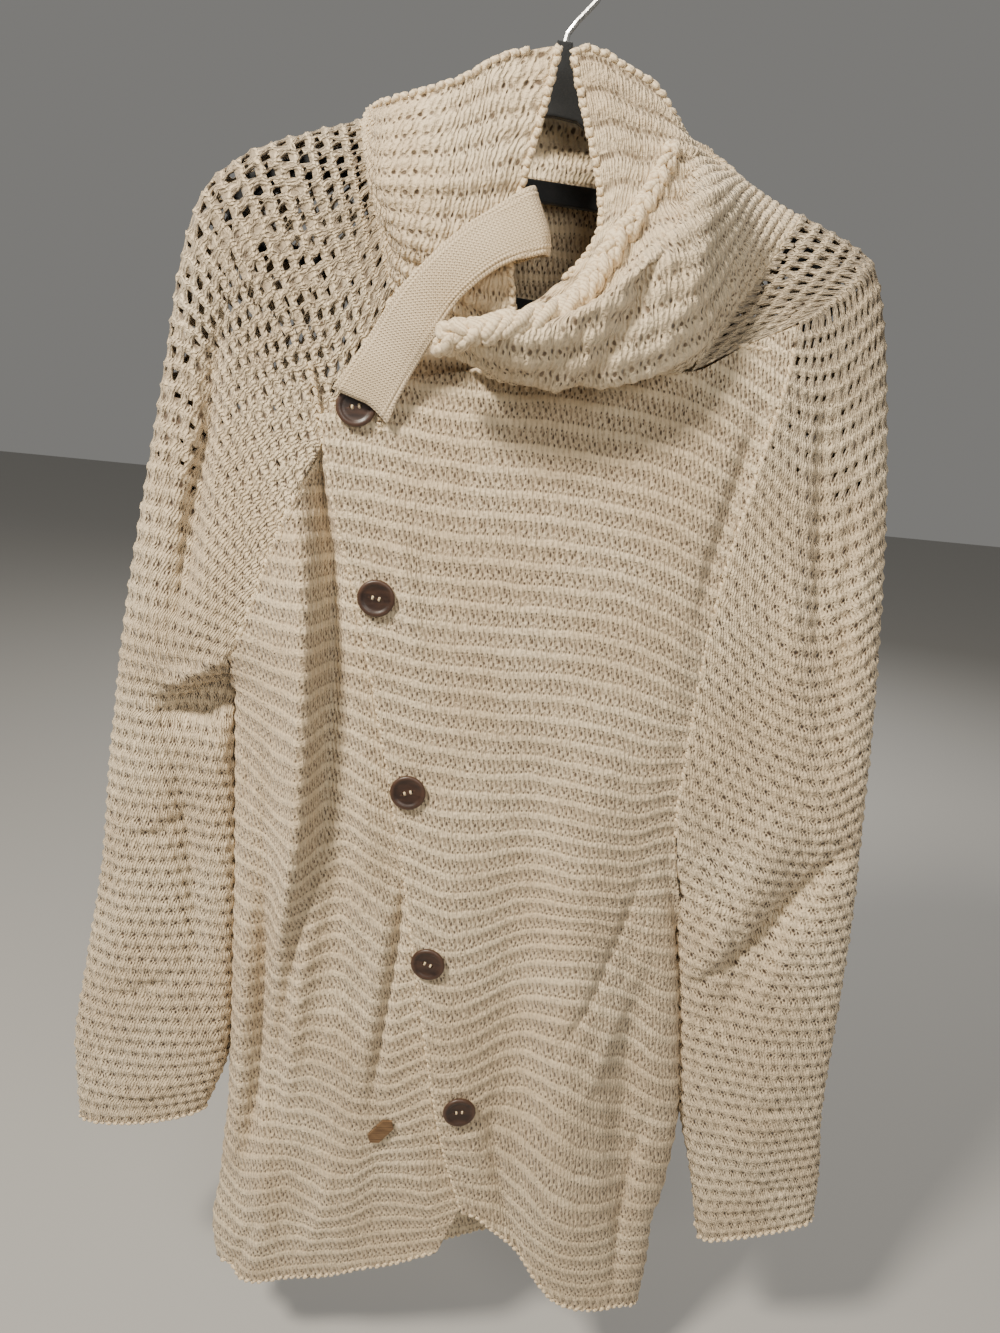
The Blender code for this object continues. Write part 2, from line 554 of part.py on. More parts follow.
def cloth_sheet(name, grid, collection, material, thickness=CLOTH):
    """Loft a wall of cloth through a grid of points given in millimetres."""
    rows, columns = grid.shape[:2]
    points = (grid.reshape(-1, 3) * MM).tolist()
    faces = []
    for row in range(rows - 1):
        for place in range(columns - 1):
            first = row * columns + place
            faces.append((first, first + 1, first + columns + 1, first + columns))
    mesh = bpy.data.meshes.new(name)
    mesh.from_pydata(points, [], faces)
    mesh.shade_smooth()
    obj = bpy.data.objects.new(name, mesh)
    wall = obj.modifiers.new("Wall", "SOLIDIFY")
    wall.thickness = thickness * MM
    wall.offset = 0
    return finish_object(name, obj, collection, material)


def lay_on(mesh, surface, x, z, height):
    """Move a mesh built on the XY plane, facing +Z, onto a panel's outer face."""
    y, aside, above = surface(np.array([x, x + 4.0, x]), np.array([z, z, z + 4.0]))
    outward = Vector((aside - y, -4.0, above - y)).normalized()
    side = Vector((0, 0, 1)).cross(outward).normalized()
    turn = Matrix((side, outward.cross(side), outward)).transposed().to_4x4()
    place = Vector((x, y, z)) + outward * (height + CLOTH / 2)
    mesh.transform(Matrix.Translation(place * MM) @ turn)


def button(name, x, z, height, collection, cutters, material):
    """A turned button with a raised rim and two sewing holes."""
    rim = BUTTON_DIAMETER / 2
    profile = (
        (0, 0), (rim - 2.2, 0), (rim - 0.7, 0.5), (rim, 1.6), (rim, 2.5), (rim - 0.6, 3.6),
        (rim - 1.8, BUTTON_THICK), (rim - 3.2, 3.6), (rim - 4.6, 2.8), (0, 2.6),
    )
    mesh = bpy.data.meshes.new(name)
    points = [(r * MM, 0, h * MM) for r, h in profile]
    mesh.from_pydata(points, [(i, i + 1) for i in range(len(points) - 1)], [])
    obj = bpy.data.objects.new(name, mesh)
    finish_object(name, obj, collection, material)
    turn = obj.modifiers.new("Turn", "SCREW")
    turn.axis = "Z"
    turn.steps = 32
    turn.render_steps = 32
    turn.use_merge_vertices = True
    turn.merge_threshold = 0.00001
    turn.use_normal_calculate = True
    bpy.context.view_layer.update()
    turned = bpy.data.meshes.new_from_object(obj.evaluated_get(bpy.context.evaluated_depsgraph_get()))
    obj.modifiers.clear()
    obj.data = turned
    turned.name = name
    for side in (-1, 1):
        bpy.ops.mesh.primitive_cylinder_add(vertices=10, radius=BUTTON_HOLE * MM / 2, depth=0.02,
                                            location=(side * BUTTON_HOLE_PITCH * MM / 2, 0, 0))
        drill = bpy.context.object
        drill.data.transform(drill.matrix_basis)
        drill.matrix_basis = Matrix()
        lay_on(drill.data, over_front, x, z, height)
        finish_object(f"{name}_hole_{'a' if side < 0 else 'b'}", drill, cutters, material)
        drill.display_type = "WIRE"
        drill.hide_render = True
        cut = obj.modifiers.new("Hole", "BOOLEAN")
        cut.operation = "DIFFERENCE"
        cut.solver = "EXACT"
        cut.object = drill
    lay_on(obj.data, over_front, x, z, height)
    return obj


def flat_curve(name, loops, thickness, bevel):
    """A flat plate cut to closed outlines: the first is the rim, the others windows."""
    curve = bpy.data.curves.new(name, "CURVE")
    curve.dimensions = "2D"
    curve.fill_mode = "BOTH"
    curve.extrude = (thickness / 2 - bevel) * MM
    curve.bevel_depth = bevel * MM
    curve.bevel_resolution = 1
    for loop in loops:
        spline = curve.splines.new("POLY")
        spline.points.add(len(loop) - 1)
        for point, (x, y) in zip(spline.points, loop):
            point.co = (x * MM, y * MM, 0, 1)
        spline.use_cyclic_u = True
    return bpy.data.objects.new(name, curve)


def both_halves(half):
    """Close an outline given for x >= 0 by its mirror image."""
    mirrored = [(-x, y) for x, y in reversed(half) if x > 0]
    return list(half) + mirrored


def upright(obj, tilt=0.0, pivot=(0, 0, 0)):
    """Stand a curve drawn in the XY plane up in the XZ plane and tilt it about a pivot."""
    bpy.context.scene.collection.objects.link(obj)
    bpy.context.view_layer.update()
    mesh = bpy.data.meshes.new_from_object(obj.evaluated_get(bpy.context.evaluated_depsgraph_get()))
    centre = Matrix.Translation(Vector(pivot) * MM)
    turn = centre @ Matrix.Rotation(math.radians(tilt), 4, "Y") @ centre.inverted()
    mesh.transform(turn @ Matrix.Rotation(math.radians(90), 4, "X"))
    bm = bmesh.new()
    bm.from_mesh(mesh)
    bmesh.ops.remove_doubles(bm, verts=bm.verts, dist=0.00001)
    bmesh.ops.recalc_face_normals(bm, faces=bm.faces)
    bm.to_mesh(mesh)
    bm.free()
    name = obj.name
    bpy.data.objects.remove(obj)
    solid = bpy.data.objects.new(name, mesh)
    return solid


def hanger_body(collection, cutters, material):
    """Flat plastic hanger with a window over the brace, one under it and a bore for the hook."""
    loops = (both_halves(HANGER_HALF), both_halves(HANGER_WINDOW_TOP), both_halves(HANGER_WINDOW_LOW))
    plate = upright(flat_curve("hanger_body", loops, HANGER_THICK, 1.2), HANGER_TILT, (0, 0, -58))
    bpy.ops.mesh.primitive_cylinder_add(vertices=20, radius=HOOK_WIRE * MM / 2 + 0.0004, depth=0.013,
                                        location=(0, 0, -0.0615))
    bore = finish_object("hanger_bore", bpy.context.object, cutters, material)
    bore.display_type = "WIRE"
    bore.hide_render = True
    cut = plate.modifiers.new("Bore", "BOOLEAN")
    cut.operation = "DIFFERENCE"
    cut.solver = "EXACT"
    cut.object = bore
    return finish_object("hanger_body", plate, collection, material)


def hanger_hook(collection, material):
    """Wire hook, seated in the hub, whose inside top is the origin."""
    radius = HOOK_INNER_RADIUS + HOOK_WIRE / 2
    arc = [(radius * math.cos(math.radians(a)), -HOOK_INNER_RADIUS + radius * math.sin(math.radians(a)))
           for a in range(-12, 211, 10)]
    path = [(x, z) for x, z in HOOK_PATH] + arc
    curve = bpy.data.curves.new("hanger_hook", "CURVE")
    curve.dimensions = "3D"
    curve.bevel_depth = HOOK_WIRE * MM / 2
    curve.bevel_resolution = 2
    curve.use_fill_caps = True
    spline = curve.splines.new("POLY")
    spline.points.add(len(path) - 1)
    for point, (x, z) in zip(spline.points, path):
        point.co = (x * MM, z * MM, 0, 1)
    hook = bpy.data.objects.new("hanger_hook", curve)
    return finish_object("hanger_hook", upright(hook), collection, material)


def tag(collection, material):
    """Small six-sided wooden tag laid on the over front near the hem."""
    plate = flat_curve("hem_tag", (TAG_OUTLINE,), TAG_THICK, 0.3)
    bpy.context.scene.collection.objects.link(plate)
    bpy.context.view_layer.update()
    mesh = bpy.data.meshes.new_from_object(plate.evaluated_get(bpy.context.evaluated_depsgraph_get()))
    bpy.data.objects.remove(plate)
    mesh.transform(Matrix.Rotation(math.radians(TAG_TURN), 4, "Z"))
    bm = bmesh.new()
    bm.from_mesh(mesh)
    bmesh.ops.remove_doubles(bm, verts=bm.verts, dist=0.00001)
    bmesh.ops.recalc_face_normals(bm, faces=bm.faces)
    bm.to_mesh(mesh)
    bm.free()
    obj = finish_object("hem_tag", bpy.data.objects.new("hem_tag", mesh), collection, material)
    lay_on(obj.data, under_front, TAG_CENTRE[0], TAG_CENTRE[1], 1.2 + TAG_THICK / 2)
    return obj


for leftover in list(bpy.data.objects):
    bpy.data.objects.remove(leftover)

cardigan = bpy.data.collections.new("funnel_neck_cardigan")
bpy.context.scene.collection.children.link(cardigan)
cutters = bpy.data.collections.new("cutters")
bpy.context.scene.collection.children.link(cutters)

knit = new_material("knit", (0.42, 0.39, 0.35), 0.95)
jersey = new_material("jersey", (0.45, 0.42, 0.38), 0.9)
horn = new_material("button", (0.13, 0.10, 0.08), 0.45)
wood = new_material("tag_wood", (0.55, 0.40, 0.26), 0.7)
plastic = new_material("hanger_plastic", (0.03, 0.03, 0.03), 0.4)
chrome = new_material("hook_wire", (0.75, 0.75, 0.75), 0.2, metallic=1.0)

for piece, points in panels().items():
    if piece == "neck_strap":
        cloth_sheet(piece, points, cardigan, jersey, JERSEY)
    else:
        cloth_sheet(piece, points, cardigan, knit)
for number, (x, z, height) in enumerate(BUTTONS, start=1):
    button(f"button_{number}", x, z, height, cardigan, cutters, horn)
tag(cardigan, wood)
hanger_body(cardigan, cutters, plastic)
hanger_hook(cardigan, chrome)
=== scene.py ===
# %% [markdown]
# # A funnel neck cardigan on its hanger
# A long cardigan in an open, chunky knit hangs on a flat plastic hanger. Each cloth piece of
# the fixed frame is a plain wall. Here every wall is knitted again as a fine shell: its rows
# follow the courses of the knit and its columns follow the wales, so the raised courses, the
# dimples between the stitches and the see-through holes are all real shape.
# All tables are in millimetres, with the origin at the inside top of the hanger's hook.

# %% Load the fixed frame
import math
from collections import namedtuple

import bpy
import numpy as np
from mathutils import Matrix, Vector


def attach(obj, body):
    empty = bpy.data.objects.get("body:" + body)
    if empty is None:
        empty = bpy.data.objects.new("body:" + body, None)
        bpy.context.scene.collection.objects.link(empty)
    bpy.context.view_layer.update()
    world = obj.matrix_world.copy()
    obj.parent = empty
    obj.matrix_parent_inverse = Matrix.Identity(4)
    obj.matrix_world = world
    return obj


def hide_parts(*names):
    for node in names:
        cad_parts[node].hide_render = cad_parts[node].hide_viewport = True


MM = 0.001
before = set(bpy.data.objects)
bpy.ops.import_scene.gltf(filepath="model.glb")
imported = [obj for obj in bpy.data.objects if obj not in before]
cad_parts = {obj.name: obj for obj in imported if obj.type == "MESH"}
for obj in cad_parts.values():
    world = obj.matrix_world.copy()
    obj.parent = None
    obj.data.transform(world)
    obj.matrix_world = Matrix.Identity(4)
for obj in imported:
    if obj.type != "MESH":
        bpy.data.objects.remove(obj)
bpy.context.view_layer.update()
bpy.ops.object.select_all(action="DESELECT")

# %% [markdown]
# ## The camera
# The camera stands close to the chest, looks down the cardigan and leans a little to one
# side. Its three axes are written out from the two angles, which is easier to read than
# three Euler angles.

# %% Camera
CAMERA_PLACE = (-0.003, -0.675, -0.245)
PITCH_DOWN = math.radians(16.5)
ROLL = math.radians(5.5)
LENS = 27.03
SENSOR = 36.0

right = Vector((math.cos(ROLL), math.sin(PITCH_DOWN) * math.sin(ROLL),
                math.cos(PITCH_DOWN) * math.sin(ROLL)))
down = Vector((math.sin(ROLL), -math.sin(PITCH_DOWN) * math.cos(ROLL),
               -math.cos(PITCH_DOWN) * math.cos(ROLL)))
ahead = Vector((0, math.cos(PITCH_DOWN), -math.sin(PITCH_DOWN)))
camera = bpy.data.objects.new("camera", bpy.data.cameras.new("camera"))
bpy.context.scene.collection.objects.link(camera)
camera.data.lens = LENS
camera.data.sensor_width = SENSOR
camera.data.clip_start = 0.01
axes = Matrix((right, -down, -ahead)).transposed().to_4x4()
camera.matrix_world = Matrix.Translation(CAMERA_PLACE) @ axes
bpy.context.scene.camera = camera
print("camera at", CAMERA_PLACE)

# %% [markdown]
# ## The draped form
# These tables say how the cloth hangs. A row of BODY is one level of the garment: where its
# two sides lie, how far the fronts and the back stand off the middle, and how closely each
# side is shut, from 0 where it runs on into a sleeve to 1 where it is folded. The folds are
# soft ridges and troughs, each with its own length, width and height.

# %% Tables of the body
SEAM_GAP = 0.9          # from each cut edge to the seam line between two panels
LAYER = 5.0             # from the under front to the over front
EDGE_ROUND = 3.4        # roundness of a folded side: 2 is an oval, and more is squarer
CLOTH = 3.0             # thickness of the cloth


def table(kind, *rows):
    """A table whose rows have a name for each column."""
    return [kind(*row) for row in rows]


BodySection = namedtuple("BodySection", "level left right front back shut_left shut_right")
BODY = table(
    BodySection,
    (-90, -80, 120, 9, 8, 0.0, 0.0),
    (-130, -84, 156, 14, 9, 0.0, 0.0),
    (-204, -90, 158, 24, 12, 0.0, 0.0),
    (-277, -118, 150, 29, 14, 0.0, 0.0),
    (-350, -149, 140, 31, 15, 0.0, 0.0),
    (-430, -178, 132, 32, 16, 0.2, 0.0),
    (-480, -186, 130, 32, 16, 1.0, 0.0),
    (-560, -185, 130, 33, 16, 1.0, 0.8),
    (-640, -184, 147, 34, 17, 1.0, 1.0),
    (-720, -184, 161, 35, 17, 1.0, 1.0),
    (-815, -185, 171, 36, 18, 1.0, 1.0),
    (-865, -189, 169, 36, 18, 1.0, 1.0),
    (-905, -192, 164, 36, 18, 1.0, 1.0),
    (-942, -197, 165, 36, 18, 1.0, 1.0),
    (-1005, -188, 162, 36, 18, 1.0, 1.0),
)
Fold = namedtuple("Fold", "top bottom x_top x_mid x_bottom width_left width_right height")
UNDER_FRONT_FOLDS = table(
    Fold,
    (-280, -800, -139, -127, -138, 26, 10, 20),
    (-280, -720, -118, -106, -108, 10, 17, -8),
    (-470, -930, -157, -154, -165, 10, 11, -8),
    (-760, -1010, -152, -154, -160, 16, 14, 8),
    (-700, -960, -92, -84, -92, 20, 20, 7),
)
OVER_FRONT_FOLDS = table(
    Fold,
    (-250, -370, -134, -123, -110, 14, 16, 3),
    (-520, -860, -34, -22, 2, 26, 24, 5),
    (-480, -960, 24, 32, 52, 20, 22, -8),
    (-440, -1010, 66, 76, 108, 26, 26, 10),
    (-600, -960, 112, 124, 140, 12, 14, -8),
    (-250, -560, 146, 136, 124, 14, 9, -7),
)
BACK_FOLDS = table(
    Fold,
    (-260, -960, -118, -110, -124, 22, 26, -7),
    (-330, -1000, -60, -44, -52, 24, 20, 6),
    (-300, -900, 8, 22, 14, 20, 24, -6),
    (-380, -1000, 70, 82, 96, 24, 22, 7),
)
# Outlines: (level, x) down an edge, and (x, level) along a hem or a top.
OVER_EDGE = (
    (-250, -139), (-286, -130), (-346, -117), (-404, -100), (-475, -83), (-590, -58), (-680, -41),
    (-773, -23), (-822, -12), (-886, 8), (-930, 22),
)
UNDER_EDGE = (
    (-240, 48), (-375, 42), (-479, 34), (-595, 28), (-690, 26), (-790, 25), (-850, 20), (-890, 6),
    (-935, -12),
)
HEM_OVER = ((0, -886), (16, -889), (32, -902), (58, -927), (76, -951), (90, -966), (110, -974),
            (130, -977), (146, -977), (156, -981), (168, -986))
HEM_UNDER = ((-200, -974), (-190, -975), (-182, -973), (-168, -981), (-149, -978), (-123, -970),
             (-97, -964), (-71, -953), (-45, -945), (-12, -930), (30, -920))
HEM_BACK = ((-200, -974), (-131, -984), (-60, -981), (-10, -974), (34, -956), (63, -953),
            (110, -962), (150, -975), (170, -977))
TOP_OVER = ((-145, -292), (-110, -272), (-60, -252), (0, -243), (60, -240), (97, -236),
            (128, -218), (160, -202))
TOP_UNDER = ((-92, -205), (-60, -219), (-20, -234), (48, -246))
TOP_BACK = ((-86, -124), (0, -131), (104, -129))
# The back's raglan seams: level, x of the right one, x of the left one.
BACK_SEAMS = (
    (-122, -86, 104), (-200, -108, 122), (-277, -132, 133), (-350, -153, 136),
    (-430, -178, 132), (-480, -186, 130), (-560, -185, 130),
)
print("body levels", len(BODY))

# %% Tables of the sleeves
# One row is a section across the arm: its outer fold, its front seam, its back seam, then
# where the sleeve sags and by how much, its depth to the front and back, and how far it is shut.
SleeveSection = namedtuple(
    "SleeveSection",
    "outer_x outer_z inner_x inner_z inner_back_x inner_back_z crease sag front back shut")
RIGHT_SLEEVE = table(
    SleeveSection,
    (-118, -110, -91, -205, -86, -124, 0.50, 0, 15, 13, 0.0),
    (-150, -119.5, -105, -242, -98, -166, 0.50, 0, 17, 13, 0.0),
    (-183, -132, -117, -275, -110, -206, 0.55, 2, 19, 13, 0.0),
    (-213, -158, -127, -298, -124, -252, 0.62, 6, 21, 14, 0.0),
    (-227, -203, -138, -323, -136, -290, 0.66, 14, 24, 15, 0.0),
    (-236, -262, -151, -354, -150, -340, 0.66, 20, 25, 16, 0.0),
    (-247.5, -330, -164, -390, -164, -385, 0.60, 17, 26, 17, 0.0),
    (-259.5, -400, -176, -425, -176, -425, 0.58, 6, 26, 17, 0.0),
    (-266, -445, -187, -452, -187, -452, 0.56, 0, 25, 17, 0.4),
    (-270, -475, -189, -478, -189, -478, 0.54, 0, 22, 17, 1.0),
    (-273, -500, -188, -503, -188, -503, 0.52, 0, 20, 17, 1.0),
    (-277, -535, -187, -538, -187, -538, 0.52, 0, 20, 17, 1.0),
    (-283.5, -616, -186, -618, -186, -618, 0.50, 0, 20, 17, 1.0),
    (-298.5, -710, -185, -712, -185, -712, 0.50, 0, 21, 17, 1.0),
    (-310, -790, -190, -785, -190, -785, 0.50, -4, 20, 16, 1.0),
    (-308, -855, -205, -834, -205, -834, 0.50, -3, 18, 15, 1.0),
)
LEFT_SLEEVE = table(
    SleeveSection,
    (154, -139, 97, -236, 106, -129, 0.50, 0, 15, 11, 0.0),
    (181, -150, 128, -218, 113, -160, 0.50, -2, 17, 12, 0.0),
    (201, -162, 159, -202, 120, -195, 0.50, -5, 20, 13, 0.0),
    (216, -200, 157, -232, 128, -240, 0.50, -14, 23, 14, 0.0),
    (228, -252, 152, -266, 133, -280, 0.50, -22, 25, 15, 0.0),
    (240, -314, 146, -308, 136, -318, 0.54, -32, 27, 16, 0.0),
    (250, -380, 137, -368, 135, -372, 0.58, -34, 28, 17, 0.0),
    (260, -458, 132, -438, 131, -438, 0.66, -28, 29, 17, 0.0),
    (268, -540, 131, -520, 131, -520, 0.70, -18, 30, 18, 0.0),
    (275, -612, 142, -600, 142, -600, 0.60, -10, 28, 18, 1.0),
    (279, -680, 154, -676, 154, -676, 0.50, -4, 25, 18, 1.0),
    (284, -780, 170, -780, 170, -780, 0.50, 0, 22, 17, 1.0),
    (293, -845, 193, -862, 193, -862, 0.50, 2, 20, 16, 1.0),
    (296, -888, 206, -918, 206, -918, 0.50, 3, 18, 15, 1.0),
)
Crease = namedtuple("Crease", "x_start z_start x_end z_end width height")
RIGHT_SLEEVE_CREASES = table(
    Crease,
    (-203, -232, -226, -450, 14, -7),
    (-176, -330, -204, -450, 18, 5),
    (-168, -466, -240, -502, 17, -16),
    (-222, -500, -206, -760, 14, -7),
    (-262, -520, -276, -780, 24, 5),
)
LEFT_SLEEVE_CREASES = table(
    Crease,
    (186, -240, 234, -500, 14, -8),
    (160, -360, 176, -560, 16, -5),
    (206, -520, 166, -680, 18, 6),
    (240, -540, 186, -716, 20, -10),
    (226, -720, 236, -880, 22, 5),
)
print("sleeve sections", len(RIGHT_SLEEVE), len(LEFT_SLEEVE))

# %% Tables of the collar and the strap
# A section climbs the collar from the neck seam to its cast-off edge, in (x, y, z).
CollarSection = namedtuple("CollarSection", "along low second third fourth top")
COLLAR_RIGHT = table(
    CollarSection,
    (0.00, (-16, -43, -208), (-21, -46, -172), (-16, -46, -139), (-8, -45, -100), (-3, -42, -70)),
    (0.04, (-34, -45, -202), (-35, -49, -170), (-35, -50, -142), (-35, -48, -110),
     (-34, -44, -79)),
    (0.10, (-60, -43, -194), (-61, -48, -168), (-61, -49, -142), (-61, -47, -117),
     (-59, -43, -93)),
    (0.17, (-90, -34, -184), (-96, -39, -164), (-101, -39, -144), (-103, -35, -124),
     (-101, -29, -104)),
    (0.28, (-104, -28, -151), (-108, -31, -137), (-111, -28, -122), (-111, -20, -110),
     (-108, -9, -104)),
    (0.34, (-110, -23, -126), (-113, -21, -115), (-113, -11, -105), (-109, 2, -101),
     (-105, 14, -107)),
    (0.40, (-113, 2, -103), (-111, 8, -99), (-106, 17, -102), (-102, 24, -118), (-98, 26, -142)),
    (0.47, (-94, 17, -110), (-93, 22, -98), (-90, 31, -102), (-87, 35, -128), (-85, 34, -160)),
    (0.66, (0, 18, -108), (0, 21, -89), (0, 31, -89), (0, 37, -130), (0, 35, -184)),
    (0.84, (92, 17, -112), (89, 21, -100), (85, 29, -104), (83, 33, -132), (81, 32, -168)),
    (1.00, (134, 2.6, -130.5), (114, 3.2, -121), (99, 4, -114.5), (91, 7, -111.5), (84, 13, -115)),
)
COLLAR_LEFT = table(
    CollarSection,
    (0.00, (134, -2.6, -130.5), (114, -3.2, -121), (99, -3.6, -114), (90, -2, -110),
     (82, 4, -109)),
    (0.22, (113, -40, -168), (94, -54, -140), (82, -44, -126), (75, -32, -110), (66, -26, -95)),
    (0.42, (102, -48, -214), (74, -68, -158), (67, -50, -146), (62, -36, -118), (53, -29, -82)),
    (0.56, (64, -58, -243), (54, -80, -184), (52, -58, -176), (49, -40, -128), (36, -31, -75)),
    (0.68, (29, -62, -251), (27, -86, -209), (36, -64, -200), (41, -43, -138), (21, -32, -69)),
    (0.82, (-8, -62, -252), (-10, -85, -228), (14, -62, -212), (35, -44, -150), (12, -33, -68)),
    (1.00, (-46, -57, -241), (-56, -72, -227), (-28, -60, -221), (31, -43, -160), (5, -34, -71)),
)
# The strap's middle line, the direction across it and its width. Its last section lies over
# the upper edge of the top button.
StrapSection = namedtuple("StrapSection", "x y z across_x across_z width")
STRAP = table(
    StrapSection,
    (-36, -43.0, -180, 0.50, -0.87, 26),
    (-14, -41.5, -168, 0.45, -0.89, 30),
    (-5, -45.0, -163, 0.43, -0.90, 36),
    (-2, -51.0, -161, 0.43, -0.90, 37),
    (-7, -56.5, -163, 0.45, -0.89, 36),
    (-32, -56.5, -176, 0.52, -0.85, 29),
    (-56, -55.5, -197, 0.66, -0.75, 28),
    (-73, -51.0, -220, 0.76, -0.65, 33),
    (-86, -42.4, -241, 0.84, -0.54, 33),
    (-104, -38.4, -272, 0.95, -0.31, 38),
)
print("collar sections", len(COLLAR_RIGHT), len(COLLAR_LEFT))

# %% [markdown]
# ## Reading the tables
# One smooth curve reader serves every table. The depth functions give the height of the
# cloth's middle surface at any place, so a mesh can be as fine as the knit needs.

# %% Smooth readers
def smooth(knots, values, at):
    """Read a smooth curve through the knots: cubic, with no overshoot at the knots."""
    knots = np.asarray(knots, float)
    values = np.asarray(values, float)
    if knots[0] > knots[-1]:
        knots = knots[::-1]
        values = values[::-1]
    at = np.clip(at, knots[0], knots[-1])
    step = np.diff(knots)
    slope = np.diff(values) / step
    tangent = np.empty_like(values)
    tangent[0] = slope[0]
    tangent[-1] = slope[-1]
    product = slope[:-1] * slope[1:]
    total = slope[:-1] + slope[1:]
    safe = np.where(np.abs(total) < 1e-12, 1.0, total)
    tangent[1:-1] = np.where(product > 0, 2 * product / safe, 0.0)
    index = np.clip(np.searchsorted(knots, at) - 1, 0, len(step) - 1)
    width = step[index]
    part = (at - knots[index]) / width
    return (values[index] * (1 + 2 * part) * (1 - part) ** 2
            + tangent[index] * width * part * (1 - part) ** 2
            + values[index + 1] * part ** 2 * (3 - 2 * part)
            + tangent[index + 1] * width * part ** 2 * (part - 1))


def column(rows, name, at):
    """One column of the body's table, read at any level."""
    return smooth([row.level for row in rows], [getattr(row, name) for row in rows], at)


def section(rows, name, at):
    """One column of a table of sections, read at any place between its rows."""
    return smooth(np.arange(len(rows)), [getattr(row, name) for row in rows], at)


def outline(pairs, at):
    """An outline given as (x, level) or (level, x) pairs, read at any place along it."""
    return smooth([pair[0] for pair in pairs], [pair[1] for pair in pairs], at)


def eased(share):
    """A share from 0 to 1 that starts and ends gently."""
    return share * share * (3 - 2 * share)


def run_of(points):
    """How far along a line of points each of them lies."""
    return np.concatenate([[0], np.cumsum(np.linalg.norm(np.diff(points, axis=0), axis=1))])


def even_row(points, count):
    """Points spaced evenly along a line of points, ends kept."""
    run = run_of(points)
    at = np.linspace(0, run[-1], count)
    return np.column_stack([np.interp(at, run, points[:, axis]) for axis in range(3)])


print("half way between 2 and 4 is", smooth((0, 1), (2, 4), 0.5))

# %% Depth of the fronts and the back
BEHIND = 3.0            # the under front stays flat this far past the over front's edge,
COMING_OUT = 26.0       # and comes out to its own folds over this width
FULL_DEPTH = 36.0       # of the fronts at the hem


def relief(folds, x, z):
    """Height of the soft folds towards the viewer at every point of a panel."""
    height = np.zeros(np.shape(x))
    for fold in folds:
        along = np.clip((fold.top - z) / (fold.top - fold.bottom), 0, 1)
        crest = smooth((0, 0.5, 1), (fold.x_top, fold.x_mid, fold.x_bottom), along)
        width = np.where(x < crest, fold.width_left, fold.width_right)
        height += fold.height * np.sin(math.pi * along) ** 0.8 * np.exp(-((x - crest) / width) ** 2)
    return height


def flattened(x, left, right, shut_left, shut_right):
    """Share of the full depth at x: 1 in the middle, falling to the folded sides."""
    middle = 0.5 * (left + right)
    half = 0.5 * (right - left)
    place = np.clip((x - middle) / half, -1, 1)
    shut = np.where(place < 0, shut_left, shut_right)
    return np.clip(1 - shut * np.abs(place) ** EDGE_ROUND, 0, 1) ** (1 / EDGE_ROUND)


def front_depth(x, z):
    share = flattened(x, column(BODY, "left", z), column(BODY, "right", z),
                      column(BODY, "shut_left", z), column(BODY, "shut_right", z))
    return -SEAM_GAP - column(BODY, "front", z) * share


def over_front(x, z):
    return front_depth(x, z) - relief(OVER_FRONT_FOLDS, x, z)


def under_front(x, z):
    """The under front lies a layer behind the over front and folds beyond its edge."""
    beyond = eased(np.clip((outline(OVER_EDGE, z) - BEHIND - x) / COMING_OUT, 0, 1))
    share = column(BODY, "front", z) / FULL_DEPTH
    own = front_depth(x, z) + LAYER * share * (1 - beyond)
    own = own - relief(UNDER_FRONT_FOLDS, x, z) * beyond
    return own - relief(OVER_FRONT_FOLDS, x, z) * (1 - beyond)


def back_depth(x, z):
    left = outline([(row[0], row[1]) for row in BACK_SEAMS], z)
    right = outline([(row[0], row[2]) for row in BACK_SEAMS], z)
    left = np.where(z < BACK_SEAMS[-1][0], column(BODY, "left", z), left)
    right = np.where(z < BACK_SEAMS[-1][0], column(BODY, "right", z), right)
    share = flattened(x, left, right, column(BODY, "shut_left", z), column(BODY, "shut_right", z))
    return SEAM_GAP + column(BODY, "back", z) * share - relief(BACK_FOLDS, x, z) * share ** 2


stands = -over_front(np.array([0.0]), np.array([-500.0]))[0]
print("over front stands", round(float(stands), 1), "mm off")

# %% [markdown]
# ## Creases drawn by hand
# The folds above are broad. A crease is narrower: a soft trough or ridge along a line of its
# own, which starts and ends at nothing. Each knot of a line gives its place and how much of
# the line's full height it has there.

